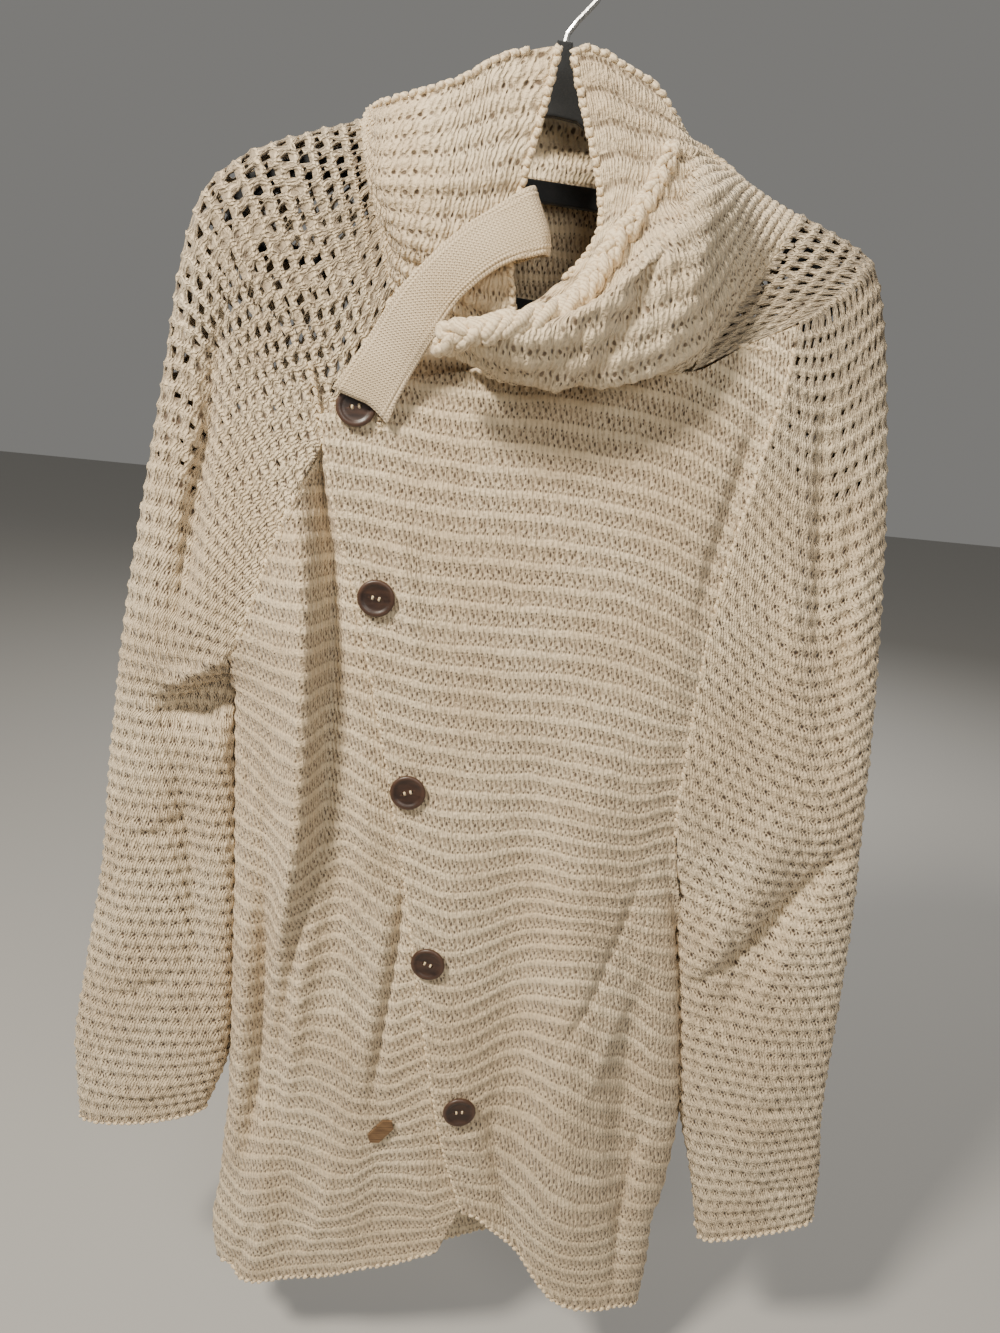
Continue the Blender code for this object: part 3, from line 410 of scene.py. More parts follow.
# %% Soft lines
SHOWN_FROM = 2.0        # the under front's creases start this far inside the over front's edge
SHOWN_OVER = 10.0       # and reach their full height over this width
SoftLine = namedtuple("SoftLine", "width height path")
UNDER_LINES = table(
    SoftLine,
    (7.5, -15, ((-136, -292, 0.3), (-129, -332, 0.9), (-122, -375, 1), (-119, -450, 1),
                (-119, -560, 1), (-126, -620, 1), (-134, -680, 0.75), (-141, -740, 0.6),
                (-146, -800, 0.5), (-143, -880, 0))),
    (6.0, 5.0, ((-143, -330, 0), (-134, -400, 0.9), (-131, -450, 1), (-132, -560, 1),
                (-139, -620, 0.8), (-147, -680, 0.3), (-150, -720, 0))),
    (4.0, -6, ((-55, -595, 0), (-57, -625, 1), (-62, -690, 1), (-67, -750, 0.8), (-71, -810, 0))),
    (8.0, 4, ((-66, -600, 0), (-69, -650, 1), (-74, -720, 1), (-79, -800, 0))),
    (6.0, -8, ((-160, -600, 0), (-158, -680, 1), (-160, -790, 1), (-168, -880, 0))),
    (8.0, 5, ((-176, -620, 0), (-173, -700, 1), (-175, -800, 1), (-182, -900, 0))),
    (6.0, -4, ((-150, -890, 0), (-160, -930, 1), (-172, -968, 1), (-182, -990, 0))),
    (7.0, 3, ((-96, -820, 0), (-100, -880, 1), (-110, -930, 0.7), (-122, -975, 0))),
    (5.0, -3, ((-178, -480, 0), (-172, -530, 1), (-175, -590, 0))),
)
OVER_LINES = table(
    SoftLine,
    (6.0, -4.5, ((146, -232, 0), (138, -290, 1), (128, -350, 1), (122, -420, 0))),
    (5.0, -3.5, ((116, -560, 0), (104, -620, 1), (84, -690, 1), (60, -740, 0))),
    (8.0, 3.5, ((126, -600, 0), (118, -660, 1), (100, -730, 1), (84, -790, 0))),
    (6.0, -4, ((20, -760, 0), (26, -820, 1), (40, -880, 1), (60, -930, 0.5), (70, -950, 0))),
    (5.0, -4, ((146, -760, 0), (138, -820, 1), (134, -890, 1), (138, -960, 0.4), (140, -990, 0))),
    (7.0, 3, ((-90, -300, 0), (-70, -380, 1), (-52, -470, 0))),
)
BACK_LINES = table(
    SoftLine,
    (7.0, -5, ((-130, -380, 0), (-122, -480, 1), (-108, -600, 0.6), (-104, -700, 0))),
    (6.0, -4, ((40, -520, 0), (52, -640, 1), (48, -780, 1), (60, -900, 0))),
    (9.0, 4, ((-30, -420, 0), (-20, -560, 1), (-34, -720, 1), (-20, -880, 0))),
    (6.0, -4, ((110, -330, 0), (104, -430, 1), (114, -560, 0))),
)


def line_relief(lines, x, z):
    """Height of the soft lines at every place."""
    height = np.zeros(np.shape(x))
    for line in lines:
        nearest = np.full(np.shape(x), 1e9)
        strength = np.zeros(np.shape(x))
        for (x_a, z_a, share_a), (x_b, z_b, share_b) in zip(line.path, line.path[1:]):
            length = (x_b - x_a) ** 2 + (z_b - z_a) ** 2
            t = np.clip(((x - x_a) * (x_b - x_a) + (z - z_a) * (z_b - z_a)) / length, 0, 1)
            away = np.hypot(x - x_a - t * (x_b - x_a), z - z_a - t * (z_b - z_a))
            closer = away < nearest
            nearest = np.where(closer, away, nearest)
            strength = np.where(closer, share_a + t * (share_b - share_a), strength)
        height += line.height * eased(strength) * np.exp(-(nearest / line.width) ** 2)
    return height


def draped_over(x, z):
    return over_front(x, z) - line_relief(OVER_LINES, x, z)


def draped_under(x, z):
    """The under front's creases fade where it goes behind the over front."""
    shown = np.clip((outline(OVER_EDGE, z) + SHOWN_FROM - x) / SHOWN_OVER, 0, 1)
    return under_front(x, z) - line_relief(UNDER_LINES, x, z) * shown


def draped_back(x, z):
    return back_depth(x, z) + line_relief(BACK_LINES, x, z)


print("soft lines", len(UNDER_LINES) + len(OVER_LINES) + len(BACK_LINES))

# %% [markdown]
# ## Where the courses run
# A course is one row of the knit. On the real cloth the courses are level only where nothing
# pulls: they drop towards the armhole seam, sag between two folds and follow the hem. Each
# row of these tables is one course, given by how far it lies above or below its own level.

# %% Tables of the courses
OVER_X = (-145, -110, -80, -50, -20, 0, 25, 50, 75, 100, 125, 150, 170)
OVER_COURSES = (
    (-120, (10, 6, 3, 0, 0, 0, 0, -2, -5, -10, -20, -32, -42)),
    (-200, (10, 6, 3, 0, 0, 0, 0, -2, -5, -10, -20, -32, -42)),
    (-300, (10, 6, 3, 0, 0, 0, 0, -2, -5, -10, -20, -32, -42)),
    (-400, (12, 8, 4, 0, 0, 0, 1, 1, -1, -8, -20, -28, -30)),
    (-500, (24, 16, 8, 2, 0, 0, 1, 1, -2, -7, -4, -6, -8)),
    (-600, (26, 20, 12, 4, -3, 0, 6, 10, 10, 6, 8, 4, 0)),
    (-680, (20, 16, 10, 6, -4, 0, 12, 24, 30, 22, 8, -6, -14)),
    (-780, (10, 10, 8, 6, -4, 0, 10, 14, 8, -8, -20, -28, -34)),
    (-850, (0, 0, 0, 0, 0, 0, -5, -20, -38, -46, -50, -52, -58)),
    (-900, (0, 0, 0, 0, 0, 0, -7, -22, -36, -44, -48, -50, -58)),
    (-950, (0, 0, 0, 0, 0, 0, -7, -20, -30, -40, -46, -48, -58)),
)
UNDER_X = (-200, -185, -168, -150, -132, -118, -100, -80, -60, -40, -20, 0, 30)
UNDER_COURSES = (
    (-200, (0, 0, 0, 0, 0, 0, 0, 0, 0, 0, 0, 0, 0)),
    (-330, (8, 6, 3, 0, 0, 0, 0, 0, 0, 0, 0, 0, 0)),
    (-430, (6, 4, 2, 0, 2, 2, 0, -3, -6, -8, -8, -8, -8)),
    (-480, (10, 8, 4, 0, -2, 2, 0, -8, -14, -16, -16, -16, -16)),
    (-540, (18, 16, 8, -5, 0, 4, 0, -10, -20, -24, -24, -24, -24)),
    (-600, (14, 12, 8, 2, -6, 0, 6, -2, -12, -14, -12, -12, -12)),
    (-680, (10, 8, 3, 0, -3, 2, 6, -6, -15, -8, 2, 4, 4)),
    (-780, (5, 4, 0, -2, 0, 4, 2, -7, -11, -2, 8, 8, 8)),
    (-880, (2, 0, -10, 0, 2, -4, -6, 0, 12, 12, 10, 14, 20)),
    (-940, (-6, -8, -12, -10, -4, 0, 4, 8, 14, 18, 24, 30, 38)),
    (-990, (-6, -8, -12, -10, -4, 0, 6, 12, 18, 24, 30, 36, 44)),
)
BACK_X = (-200, -150, -100, -50, 0, 50, 100, 150, 170)
BACK_COURSES = (
    (-110, (-20, -12, -5, 0, 0, 0, -5, -12, -20)),
    (-300, (-10, -6, -3, 0, 0, 0, -3, -6, -10)),
    (-500, (-4, -2, 3, -3, 0, 4, -2, -1, -4)),
    (-700, (-4, 0, 5, -4, 0, 6, -3, 0, -4)),
    (-900, (2, -2, -6, -6, 0, 14, 10, 0, -2)),
    (-1010, (2, -4, -8, -6, 0, 20, 14, 0, -2)),
)


def course_line(places, courses, level, x):
    """Height of one course over a panel, from the courses of its table."""
    levels = [course[0] for course in courses]
    drops = [smooth(levels, [course[1][k] for course in courses], level)
             for k in range(len(places))]
    return level + smooth(places, drops, x)


sample = [course_line(OVER_X, OVER_COURSES, z, np.array([100.0]))[0] for z in (-300, -600, -880)]
print("courses of the over front at x 100:", [round(float(z)) for z in sample])

# %% [markdown]
# ## The stitch as a relief
# The knit has one raised course, a band of loops, above a recessed band with two strands in
# a Λ and one tall hole between them. A cell is one such unit. Places on the cloth are told in
# cells: u counts cells along a course and v counts courses up the cloth.

# %% Relief of one cell
CELL = 6.7              # width of a cell on the body
COURSE = 14.9           # from one raised course to the next
ROWS = 6                # mesh rows to a course
BAND_HALF = 0.18        # half height of the raised band, in courses
DIMPLE_HALF = 0.16      # half height of a dimple
DIMPLE_ABOVE = 0.48     # from the middle of the band to the dimples
BAND_MEAN = 0.35        # taken off, so that the cloth keeps its middle


def cell_relief(u, v, ridge=0.75, loops=0.9, dimple=0.6, middle=0.2, beads=2):
    """Height of the knit at u, v in millimetres: a raised, beaded band and dimples below.

    The sines of odd lengths make the courses a little uneven, as by hand.
    """
    place = v - np.floor(v) + 0.03 * np.sin(3.7 * u + 0.9 * v) + 0.02 * np.sin(9.1 * u)
    away = np.abs(place - middle)
    band = np.exp(-(np.minimum(away, 1 - away) / BAND_HALF) ** 2)
    bead = 0.5 - 0.5 * np.cos(2 * math.pi * beads * u)
    low = (middle + DIMPLE_ABOVE) % 1.0
    hole = np.exp(-((place - low) / DIMPLE_HALF) ** 2) * (0.5 + 0.5 * np.cos(2 * math.pi * u))
    uneven = 1 + 0.2 * np.sin(2.1 * u + 1.3 * v) + 0.2 * np.sin(5.3 * u - 2.9 * v) * np.sin(1.7 * v)
    return ridge * (band * uneven - BAND_MEAN) + loops * band * (bead - 0.5) - dimple * hole


proud = cell_relief(0.25, 0.2) - cell_relief(0.25, 0.7)
print("a raised course stands", round(float(proud), 2), "mm proud")

# %% [markdown]
# ## Draping a grid
# A flat grid is added, its vertices are moved to their places on the cloth, and what lies
# beyond the panel's outline is cut off. Solidify then gives the sheet its thickness.

# %% Grid helpers
MERGED = 0.00003        # vertices nearer than this, in metres, become one


def select_only(obj):
    bpy.ops.object.select_all(action="DESELECT")
    obj.select_set(True)
    bpy.context.view_layer.objects.active = obj


def triangles(mesh):
    return sum(len(face.vertices) - 2 for face in mesh.polygons)


def drape_grid(name, points, u, v, cut, thickness, turned_over=False):
    """A grid of rows and columns laid on the points, with the faces marked in cut removed.

    turned_over takes the columns from the other end, so that the faces point outwards.
    """
    if turned_over:
        points, u, v, cut = points[:, ::-1], u[:, ::-1], v[:, ::-1], cut[:, ::-1]
    rows, columns = points.shape[:2]
    bpy.ops.mesh.primitive_grid_add(x_subdivisions=columns - 1, y_subdivisions=rows - 1, size=1)
    obj = bpy.context.object
    mesh = obj.data
    obj.name = mesh.name = name
    flat = np.empty(3 * len(mesh.vertices))
    mesh.vertices.foreach_get("co", flat)
    flat = flat.reshape(-1, 3)
    place = np.rint((flat[:, 0] + 0.5) * (columns - 1)).astype(int)
    row = np.rint((flat[:, 1] + 0.5) * (rows - 1)).astype(int)
    mesh.vertices.foreach_set("co", (points[row, place] * MM).ravel())
    corner = np.empty(len(mesh.loops), int)
    mesh.loops.foreach_get("vertex_index", corner)
    layer = mesh.uv_layers[0]
    layer.name = "stitches"
    uv = np.column_stack([u[row, place], v[row, place]])
    layer.data.foreach_set("uv", uv[corner].ravel())
    starts = np.array([face.loop_start for face in mesh.polygons])
    corners = corner[starts[:, None] + np.arange(4)]
    doomed = cut[row[corners].min(axis=1), place[corners].min(axis=1)]
    select_only(obj)
    bpy.context.tool_settings.mesh_select_mode = (False, False, True)
    mesh.vertices.foreach_set("select", np.zeros(len(mesh.vertices), bool))
    mesh.edges.foreach_set("select", np.zeros(len(mesh.edges), bool))
    mesh.polygons.foreach_set("select", doomed)
    bpy.ops.object.mode_set(mode="EDIT")
    bpy.ops.mesh.delete(type="FACE")
    bpy.ops.mesh.select_all(action="SELECT")
    bpy.ops.mesh.remove_doubles(threshold=MERGED)
    bpy.ops.object.mode_set(mode="OBJECT")
    wall = obj.modifiers.new("Wall", "SOLIDIFY")
    wall.thickness = thickness * MM
    wall.offset = 0
    bpy.ops.object.modifier_apply(modifier=wall.name)
    mesh.shade_smooth()
    print(name, "triangles", triangles(mesh))
    return obj


print("grid helpers ready")

# %% [markdown]
# ## Flat panels: two fronts and a back
# Columns keep their distance along the cloth, not along x, so a fold takes up real cloth. A
# column that would leave the panel stays on its edge, and the faces it leaves without any
# width are cut.

# %% Edges of the panels
Outline = namedtuple("Outline", "left right hem crown")
SEAM_INSET = 0.3        # from a knitted edge to its seam line
RIGHT_ARM_FREE = -455   # the level below which the right sleeve hangs free of the body
LEFT_ARM_FREE = -560    # and the same for the left one
RIGHT_TUCK = (-640, 170, 6.0)   # where a hanging sleeve presses the side in: level, half height
LEFT_TUCK = (-662, 158, 7.0)    # and depth
SAMPLES = 40            # places read between two sections of a sleeve


def seam_x(rows, inner, level, first=0):
    """X of a sleeve's seam at a level, from the given row of the sleeve down."""
    at = np.linspace(0, len(rows) - 1, SAMPLES * len(rows))[SAMPLES * first:]
    x = section(rows, inner + "_x", at)
    z = section(rows, inner + "_z", at)
    return np.interp(level, z[::-1], x[::-1])


def tucked(z, middle, half, reach):
    """How far the side of the body is pressed against its sleeve, in millimetres."""
    return reach * np.exp(-((z - middle) / half) ** 4)


def by_right_sleeve(z, inner):
    """The body's edge along its right sleeve, and below that its own folded side."""
    return np.where(z > RIGHT_ARM_FREE, seam_x(RIGHT_SLEEVE, inner, z) + SEAM_INSET,
                    column(BODY, "left", z) - tucked(z, *RIGHT_TUCK))


def by_left_sleeve(z, inner, first=0):
    """The body's edge along its left sleeve, and below that its own folded side."""
    return np.where(z > LEFT_ARM_FREE, seam_x(LEFT_SLEEVE, inner, z, first) - SEAM_INSET,
                    column(BODY, "right", z) + tucked(z, *LEFT_TUCK))


over_edges = Outline(left=lambda z: outline(OVER_EDGE, z),
                     right=lambda z: by_left_sleeve(z, "inner", first=2),
                     hem=lambda x: outline(HEM_OVER, x),
                     crown=lambda x: outline(TOP_OVER, x))
under_edges = Outline(left=lambda z: by_right_sleeve(z, "inner"),
                      right=lambda z: outline(UNDER_EDGE, z),
                      hem=lambda x: outline(HEM_UNDER, x),
                      crown=lambda x: outline(TOP_UNDER, x))
back_edges = Outline(left=lambda z: by_right_sleeve(z, "inner_back"),
                     right=lambda z: by_left_sleeve(z, "inner_back"),
                     hem=lambda x: outline(HEM_BACK, x),
                     crown=lambda x: outline(TOP_BACK, x))
print("the back at level -600 runs from x", round(float(back_edges.left(-600.0)), 1),
      "to", round(float(back_edges.right(-600.0)), 1))

# %% Knitted panels
HEM_BORDER = 22         # height of the ribbed border above the hem
HEM_RIB = 0.9           # height of its ribs
HEM_FLAT = 0.8          # share of the courses' relief that the border loses
ON_EDGE = 0.02          # a vertex this near the outline lies on it
PANEL_SHELL = CLOTH - 0.8   # thickness left under the raised stitches
SETTLE = 12             # passes that bring a vertex on to its course and inside the outline


def faces_outside(x, z, edges):
    """The faces without width: all four corners lie on one edge of the outline."""
    cut = np.zeros((x.shape[0] - 1, x.shape[1] - 1), bool)
    for mark in (x <= edges.left(z) + ON_EDGE, x >= edges.right(z) - ON_EDGE,
                 z <= edges.hem(x) + ON_EDGE, z >= edges.crown(x) - ON_EDGE):
        cut |= mark[:-1, :-1] & mark[1:, :-1] & mark[:-1, 1:] & mark[1:, 1:]
    return cut


def panel_normals(depth, x, z):
    """Unit normals of a panel, towards the viewer."""
    normal = np.stack([depth(x + 0.5, z) - depth(x - 0.5, z), -np.ones(x.shape),
                       depth(x, z + 0.5) - depth(x, z - 0.5)], axis=-1)
    return normal / np.linalg.norm(normal, axis=-1)[..., None]


def knitted_panel(name, depth, places, courses, edges, middle, x_range, cloth_range, spots, rows,
                  outward=1):
    """Knit a panel of the body: depth gives its surface, courses its rows, edges its outline.

    cloth_range says how far the columns run along the cloth to both sides of x = middle.
    There are spots mesh lines to a cell and rows mesh rows to a course.
    """
    step = CELL / spots
    fine = np.arange(x_range[0], x_range[1] + 1.0)
    columns = np.arange(math.ceil(cloth_range[0] / step), math.floor(cloth_range[1] / step) + 1)
    levels = np.arange(courses[-1][0], courses[0][0], COURSE / rows)
    lines = np.array([course_line(places, courses, level, fine) for level in levels])
    shape = (len(levels), len(columns))
    x, z, u, v = (np.empty(shape) for _ in range(4))
    for r, line in enumerate(lines):
        y = depth(fine, line)
        run = np.concatenate([[0], np.cumsum(np.sqrt(1 + np.diff(y) ** 2 + np.diff(line) ** 2))])
        run -= np.interp(middle, fine, run)
        place = np.interp(columns * step, run, fine)
        for _ in range(SETTLE):
            height = np.clip(np.interp(place, fine, line), edges.hem(place), edges.crown(place))
            place = np.clip(place, edges.left(height), edges.right(height))
        x[r] = place
        z[r] = height
        u[r] = np.interp(place, fine, run) / CELL
    share = np.arange(len(levels)) / rows
    for c in range(shape[1]):
        near = np.clip(np.rint(x[:, c] - fine[0]).astype(int), 0, len(fine) - 1)
        natural = lines[np.arange(len(levels)), near]
        v[:, c] = share + (z[:, c] - natural) / COURSE
    border = np.clip(1 - (z - edges.hem(x)) / HEM_BORDER, 0, 1)
    ribs = HEM_RIB * border * np.cos(2 * math.pi * u)
    height = cell_relief(u, v) * (1 - HEM_FLAT * border) + ribs
    normal = outward * panel_normals(depth, x, z)
    points = np.stack([x, depth(x, z), z], axis=-1) + normal * height[..., None]
    return drape_grid(name, points, u, v, faces_outside(x, z, edges), PANEL_SHELL,
                      turned_over=outward < 0)


front_left = knitted_panel("over_front_knit", draped_over, OVER_X, OVER_COURSES, over_edges,
                           middle=40, x_range=(-150, 176), cloth_range=(-210, 190),
                           spots=4, rows=ROWS)
front_right = knitted_panel("under_front_knit", draped_under, UNDER_X, UNDER_COURSES, under_edges,
                            middle=-150, x_range=(-202, 52), cloth_range=(-80, 260),
                            spots=3, rows=ROWS)
back = knitted_panel("back_knit", draped_back, BACK_X, BACK_COURSES, back_edges,
                     middle=0, x_range=(-202, 176), cloth_range=(-240, 230),
                     spots=2, rows=4, outward=-1)

# %% [markdown]
# ## Sleeves
# A sleeve is a tube, so its grid runs from the front seam round the outer fold to the back
# seam. Each row of its table is a section across the arm, and the mesh rows are spaced evenly
# down the middle of the sleeve.

# %% Creases of the sleeves
RIGHT_SLEEVE_LINES = table(
    SoftLine,
    (6.0, -9, ((-192, -214, 0), (-202, -262, 1), (-208, -330, 1), (-216, -400, 0.6),
               (-224, -446, 0))),
    (3.2, -5, ((-200, -280, 0), (-214, -330, 1), (-222, -390, 1), (-226, -440, 0))),
    (6.0, 3.5, ((-205, -240, 0), (-214, -300, 1), (-226, -360, 0.7), (-232, -430, 0))),
    (9.0, -20, ((-168, -448, 0.6), (-182, -468, 1), (-200, -483, 1), (-218, -492, 0.7),
                (-244, -500, 0))),
    (8.0, 11, ((-172, -430, 0.4), (-188, -449, 1), (-206, -463, 1), (-224, -472, 0.7),
               (-244, -478, 0))),
    (9.0, 7, ((-168, -470, 0), (-180, -488, 1), (-192, -520, 0.8), (-196, -560, 0))),
    (6.0, -4, ((-232, -520, 0), (-222, -580, 1), (-214, -660, 0.7), (-212, -740, 0))),
    (5.0, -3, ((-270, -560, 0), (-276, -640, 1), (-290, -740, 0))),
    (5.0, -3, ((-200, -560, 0), (-240, -590, 1), (-272, -600, 0))),
    (6.0, -3, ((-214, -700, 0), (-250, -722, 1), (-290, -730, 0))),
    (6.0, 3, ((-210, -800, 0), (-250, -818, 1), (-296, -820, 0))),
)
LEFT_SLEEVE_LINES = table(
    SoftLine,
    (5.0, -6, ((178, -214, 0), (186, -280, 1), (200, -360, 1), (214, -440, 0))),
    (4.0, -4, ((206, -250, 0), (216, -330, 1), (228, -420, 0.7), (238, -500, 0))),
    (6.0, 4, ((170, -300, 0), (184, -380, 1), (204, -470, 0))),
    (7.0, -8, ((262, -540, 0), (240, -572, 1), (214, -612, 1), (192, -646, 1), (168, -672, 0.6),
               (150, -690, 0))),
    (7.0, 4, ((240, -600, 0), (222, -650, 1), (200, -710, 0))),
    (5.0, -4, ((160, -560, 0), (186, -620, 1), (196, -700, 0))),
    (6.0, -3, ((196, -760, 0), (236, -776, 1), (280, -770, 0))),
    (5.0, -3, ((200, -820, 0), (240, -850, 1), (284, -856, 0))),
)


def crease_relief(creases, x, z):
    """Height of the sleeve's creases, each along a straight line with soft ends."""
    height = np.zeros(np.shape(x))
    for crease in creases:
        run_x = crease.x_end - crease.x_start
        run_z = crease.z_end - crease.z_start
        length = math.hypot(run_x, run_z)
        along = ((x - crease.x_start) * run_x + (z - crease.z_start) * run_z) / length ** 2
        across = ((x - crease.x_start) * run_z - (z - crease.z_start) * run_x) / length
        ends = np.sin(math.pi * np.clip(along, 0, 1)) ** 0.7
        height += crease.height * ends * np.exp(-(across / crease.width) ** 2)
    return height

Arm = namedtuple("Arm", "rows creases lines front")
RIGHT_ARM = Arm(RIGHT_SLEEVE, RIGHT_SLEEVE_CREASES, RIGHT_SLEEVE_LINES, under_front)
LEFT_ARM = Arm(LEFT_SLEEVE, LEFT_SLEEVE_CREASES, LEFT_SLEEVE_LINES, over_front)
print("creases of the right sleeve", len(RIGHT_ARM.creases) + len(RIGHT_ARM.lines))

# %% Sleeve form
TURN_STEPS = 721         # places read round a section of the arm


def sleeve(arm, at, columns, gap=SEAM_INSET):
    """Grid of a sleeve at the given places down its table; columns are (front, back)."""
    values = [section(arm.rows, name, at) for name in SleeveSection._fields]
    turn = np.linspace(0, math.pi, TURN_STEPS)
    across = np.abs(np.sin(turn)) ** (2 / EDGE_ROUND)
    share = np.abs(np.cos(turn)) ** (2 / EDGE_ROUND)
    is_front = turn <= math.pi / 2
    grid = []
    for i in range(len(at)):
        here = SleeveSection(*(value[i] for value in values))
        inner_x = np.where(is_front, here.inner_x, here.inner_back_x)
        inner_z = np.where(is_front, here.inner_z, here.inner_back_z)
        inset = gap / math.hypot(here.outer_x - here.inner_x, here.outer_z - here.inner_z)
        along = inset + (1 - inset) * across
        bump = np.where(along < here.crease, np.sin(0.5 * math.pi * along / here.crease),
                        np.sin(0.5 * math.pi * (1 - along) / (1 - here.crease)))
        x = inner_x + (here.outer_x - inner_x) * along
        z = inner_z + (here.outer_z - inner_z) * along + here.sag * bump
        closing = (1 - here.shut * np.clip(1 - along, 0, 1) ** EDGE_ROUND) ** (1 / EDGE_ROUND)
        seam_front = arm.front(np.array([here.inner_x]), np.array([here.inner_z]))[0]
        seam_back = back_depth(np.array([here.inner_back_x]), np.array([here.inner_back_z]))[0]
        near = (1 - along) ** 2 * (1 - here.shut)
        front = share * closing * here.front * (1 - near) + share * near * (-seam_front)
        back_side = share * closing * here.back * (1 - near) + share * near * seam_back
        dents = crease_relief(arm.creases, x, z) + line_relief(arm.lines, x, z)
        front = front + dents * share * closing * (1 - near)
        y = np.where(is_front, -np.maximum(front, 0), back_side)
        y = y + np.where(is_front, -1, 1) * SEAM_GAP * here.shut * (1 - along) ** 4
        points = np.column_stack([x, y, z])
        grid.append(np.vstack([even_row(points[is_front], columns[0] + 1),
                               even_row(points[~is_front], columns[1] + 1)[1:]]))
    return np.array(grid)


SLEEVE_COURSE = 10.5     # from one course to the next down the arm
SLEEVE_ROWS = 5          # mesh rows to a course
SLEEVE_SPOTS = 4         # mesh lines to a cell
SLEEVE_CELLS = (15, 13)  # cells across the front and across the back


def even_courses(rows, pitch):
    """Places down a sleeve's table that lie evenly along its middle line."""
    fine = np.linspace(0, len(rows) - 1, 600)
    steps = np.arange(len(rows))
    middle_x = smooth(steps, [0.5 * (row.outer_x + row.inner_x) for row in rows], fine)
    middle_z = smooth(steps, [0.5 * (row.outer_z + row.inner_z) for row in rows], fine)
    run = np.concatenate([[0], np.cumsum(np.hypot(np.diff(middle_x), np.diff(middle_z)))])
    courses = round(run[-1] / pitch)
    at = np.interp(np.linspace(0, run[-1], courses * SLEEVE_ROWS + 1), run, fine)
    return at, courses


def grid_normals(points):
    """Unit normals of a grid of points."""
    normal = np.cross(np.gradient(points, axis=1), np.gradient(points, axis=0))
    size = np.linalg.norm(normal, axis=-1)[..., None]
    return normal / np.maximum(size, 1e-9)


print("sleeve courses", [even_courses(arm.rows, SLEEVE_COURSE)[1] for arm in (RIGHT_ARM, LEFT_ARM)])

# %% [markdown]
# ## Lace at the shoulders
# Over the shoulders the knit opens into lace. Each stitch is a dense knot with a fan of
# strands below it. A tall hole stands between two fans, and where the lace is widest a small
# one opens inside a fan. The holes are faces left out of the grid, and the four grid lines of
# a cell are drawn together under its knot, so that the strands really fan out. Every second
# course is set half a cell aside.

# %% Lace
# The mesh lines of a cell, told from the middle of its fan, and how far each is drawn aside
# under the knot and at the foot of the fan. Then the share of both on each mesh row.
FAN = np.array((1.5, -1.5, -0.5, 0.5))
FAN_TIGHT = np.array((-0.62, 0.62, 0.14, -0.14))
FAN_WIDE = np.array((-0.10, 0.10, -0.16, 0.16))
TIGHT_ROWS = np.array((0.0, 0.6, 1.0, 0.6, 0.1))
WIDE_ROWS = np.array((0.0, 0.0, 0.0, 0.5, 0.8))
BAND_PULL = np.array((0.0, -0.25, -0.25, 0.0, 0.20))    # each row, to narrow the knots' band
LOOSENESS = 0.20        # how unevenly the strands lie, in mesh lines
HOLE_OPENS = 0.22       # openness at which the hole between two fans appears,
HOLE_GROWS = 0.60       # at which it is a row taller,
FAN_OPENS = 0.80        # and at which a fan has a hole of its own
FAN_OFTEN = 0.7         # share of the fans that have one


def openness(x, z, top, fade):
    """How far the lace opens: 1 over the shoulder, 0 down the arm."""
    share = np.clip((z - fade) / (top - fade), 0, 1)
    wander = 0.14 * np.sin(x / 17.0 + z / 29.0) + 0.10 * np.sin(x / 9.0 - z / 13.0)
    return np.clip(eased(share) + wander * share, 0, 1)


def lace_places(shape):
    """Row and line of every vertex or face, and then both told within its own cell."""
    row, place = np.meshgrid(np.arange(shape[0]), np.arange(shape[1]), indexing="ij")
    shift = SLEEVE_SPOTS // 2 * ((row // SLEEVE_ROWS) % 2)
    return row, place, row % SLEEVE_ROWS, (place + shift) % SLEEVE_SPOTS


def lace_cut(shape, opened, often):
    """The faces left out between the fans and between the strands of each fan.

    often is the share of the holes that are left open at each vertex.
    """
    row, place, q, p = lace_places((shape[0] - 1, shape[1] - 1))
    here = opened[:-1, :-1]
    often = often[:-1, :-1]
    chance = np.random.default_rng(11).random(here.shape)
    tall = ((q == 2) & (here > HOLE_OPENS)) | ((q == 3) & (here > HOLE_GROWS))
    between = (p == 0) & (chance < often) & tall
    within = (p == 2) & (q == 3) & (here > FAN_OPENS) & (chance < FAN_OFTEN * often)
    inside = (place > 0) & (place < shape[1] - 2) & (row > 0) & (row < shape[0] - 2)
    return (between | within) & inside


def fan_out(points, opened):
    """Draw the grid lines together under each knot, so that the strands fan out of it."""
    shape = points.shape[:2]
    row, place, q, p = lace_places(shape)
    rng = np.random.default_rng(7)
    pull = np.clip(opened * 1.6, 0, 1)
    aside = TIGHT_ROWS[q] * FAN_TIGHT[p] + WIDE_ROWS[q] * FAN_WIDE[p]
    aside = (aside + rng.normal(0, LOOSENESS, shape)) * pull
    swing = 0.5 * np.cos(2 * math.pi * (p - 2.5) / SLEEVE_SPOTS) * (1 - q / 2.5)
    below = (BAND_PULL[q] + swing + rng.normal(0, LOOSENESS, shape)) * pull
    aside[:, 0] = aside[:, -1] = 0
    below[0] = below[-1] = 0
    at_row = np.clip(row + below, 0, shape[0] - 1.001)
    at_place = np.clip(place + aside, 0, shape[1] - 1.001)
    low_row, low_place = at_row.astype(int), at_place.astype(int)
    part_row, part_place = (at_row - low_row)[..., None], (at_place - low_place)[..., None]

    def along_row(which):
        return (points[which, low_place] * (1 - part_place)
                + points[which, low_place + 1] * part_place)

    return along_row(low_row) * (1 - part_row) + along_row(low_row + 1) * part_row


print("lines of a fan", FAN.tolist())

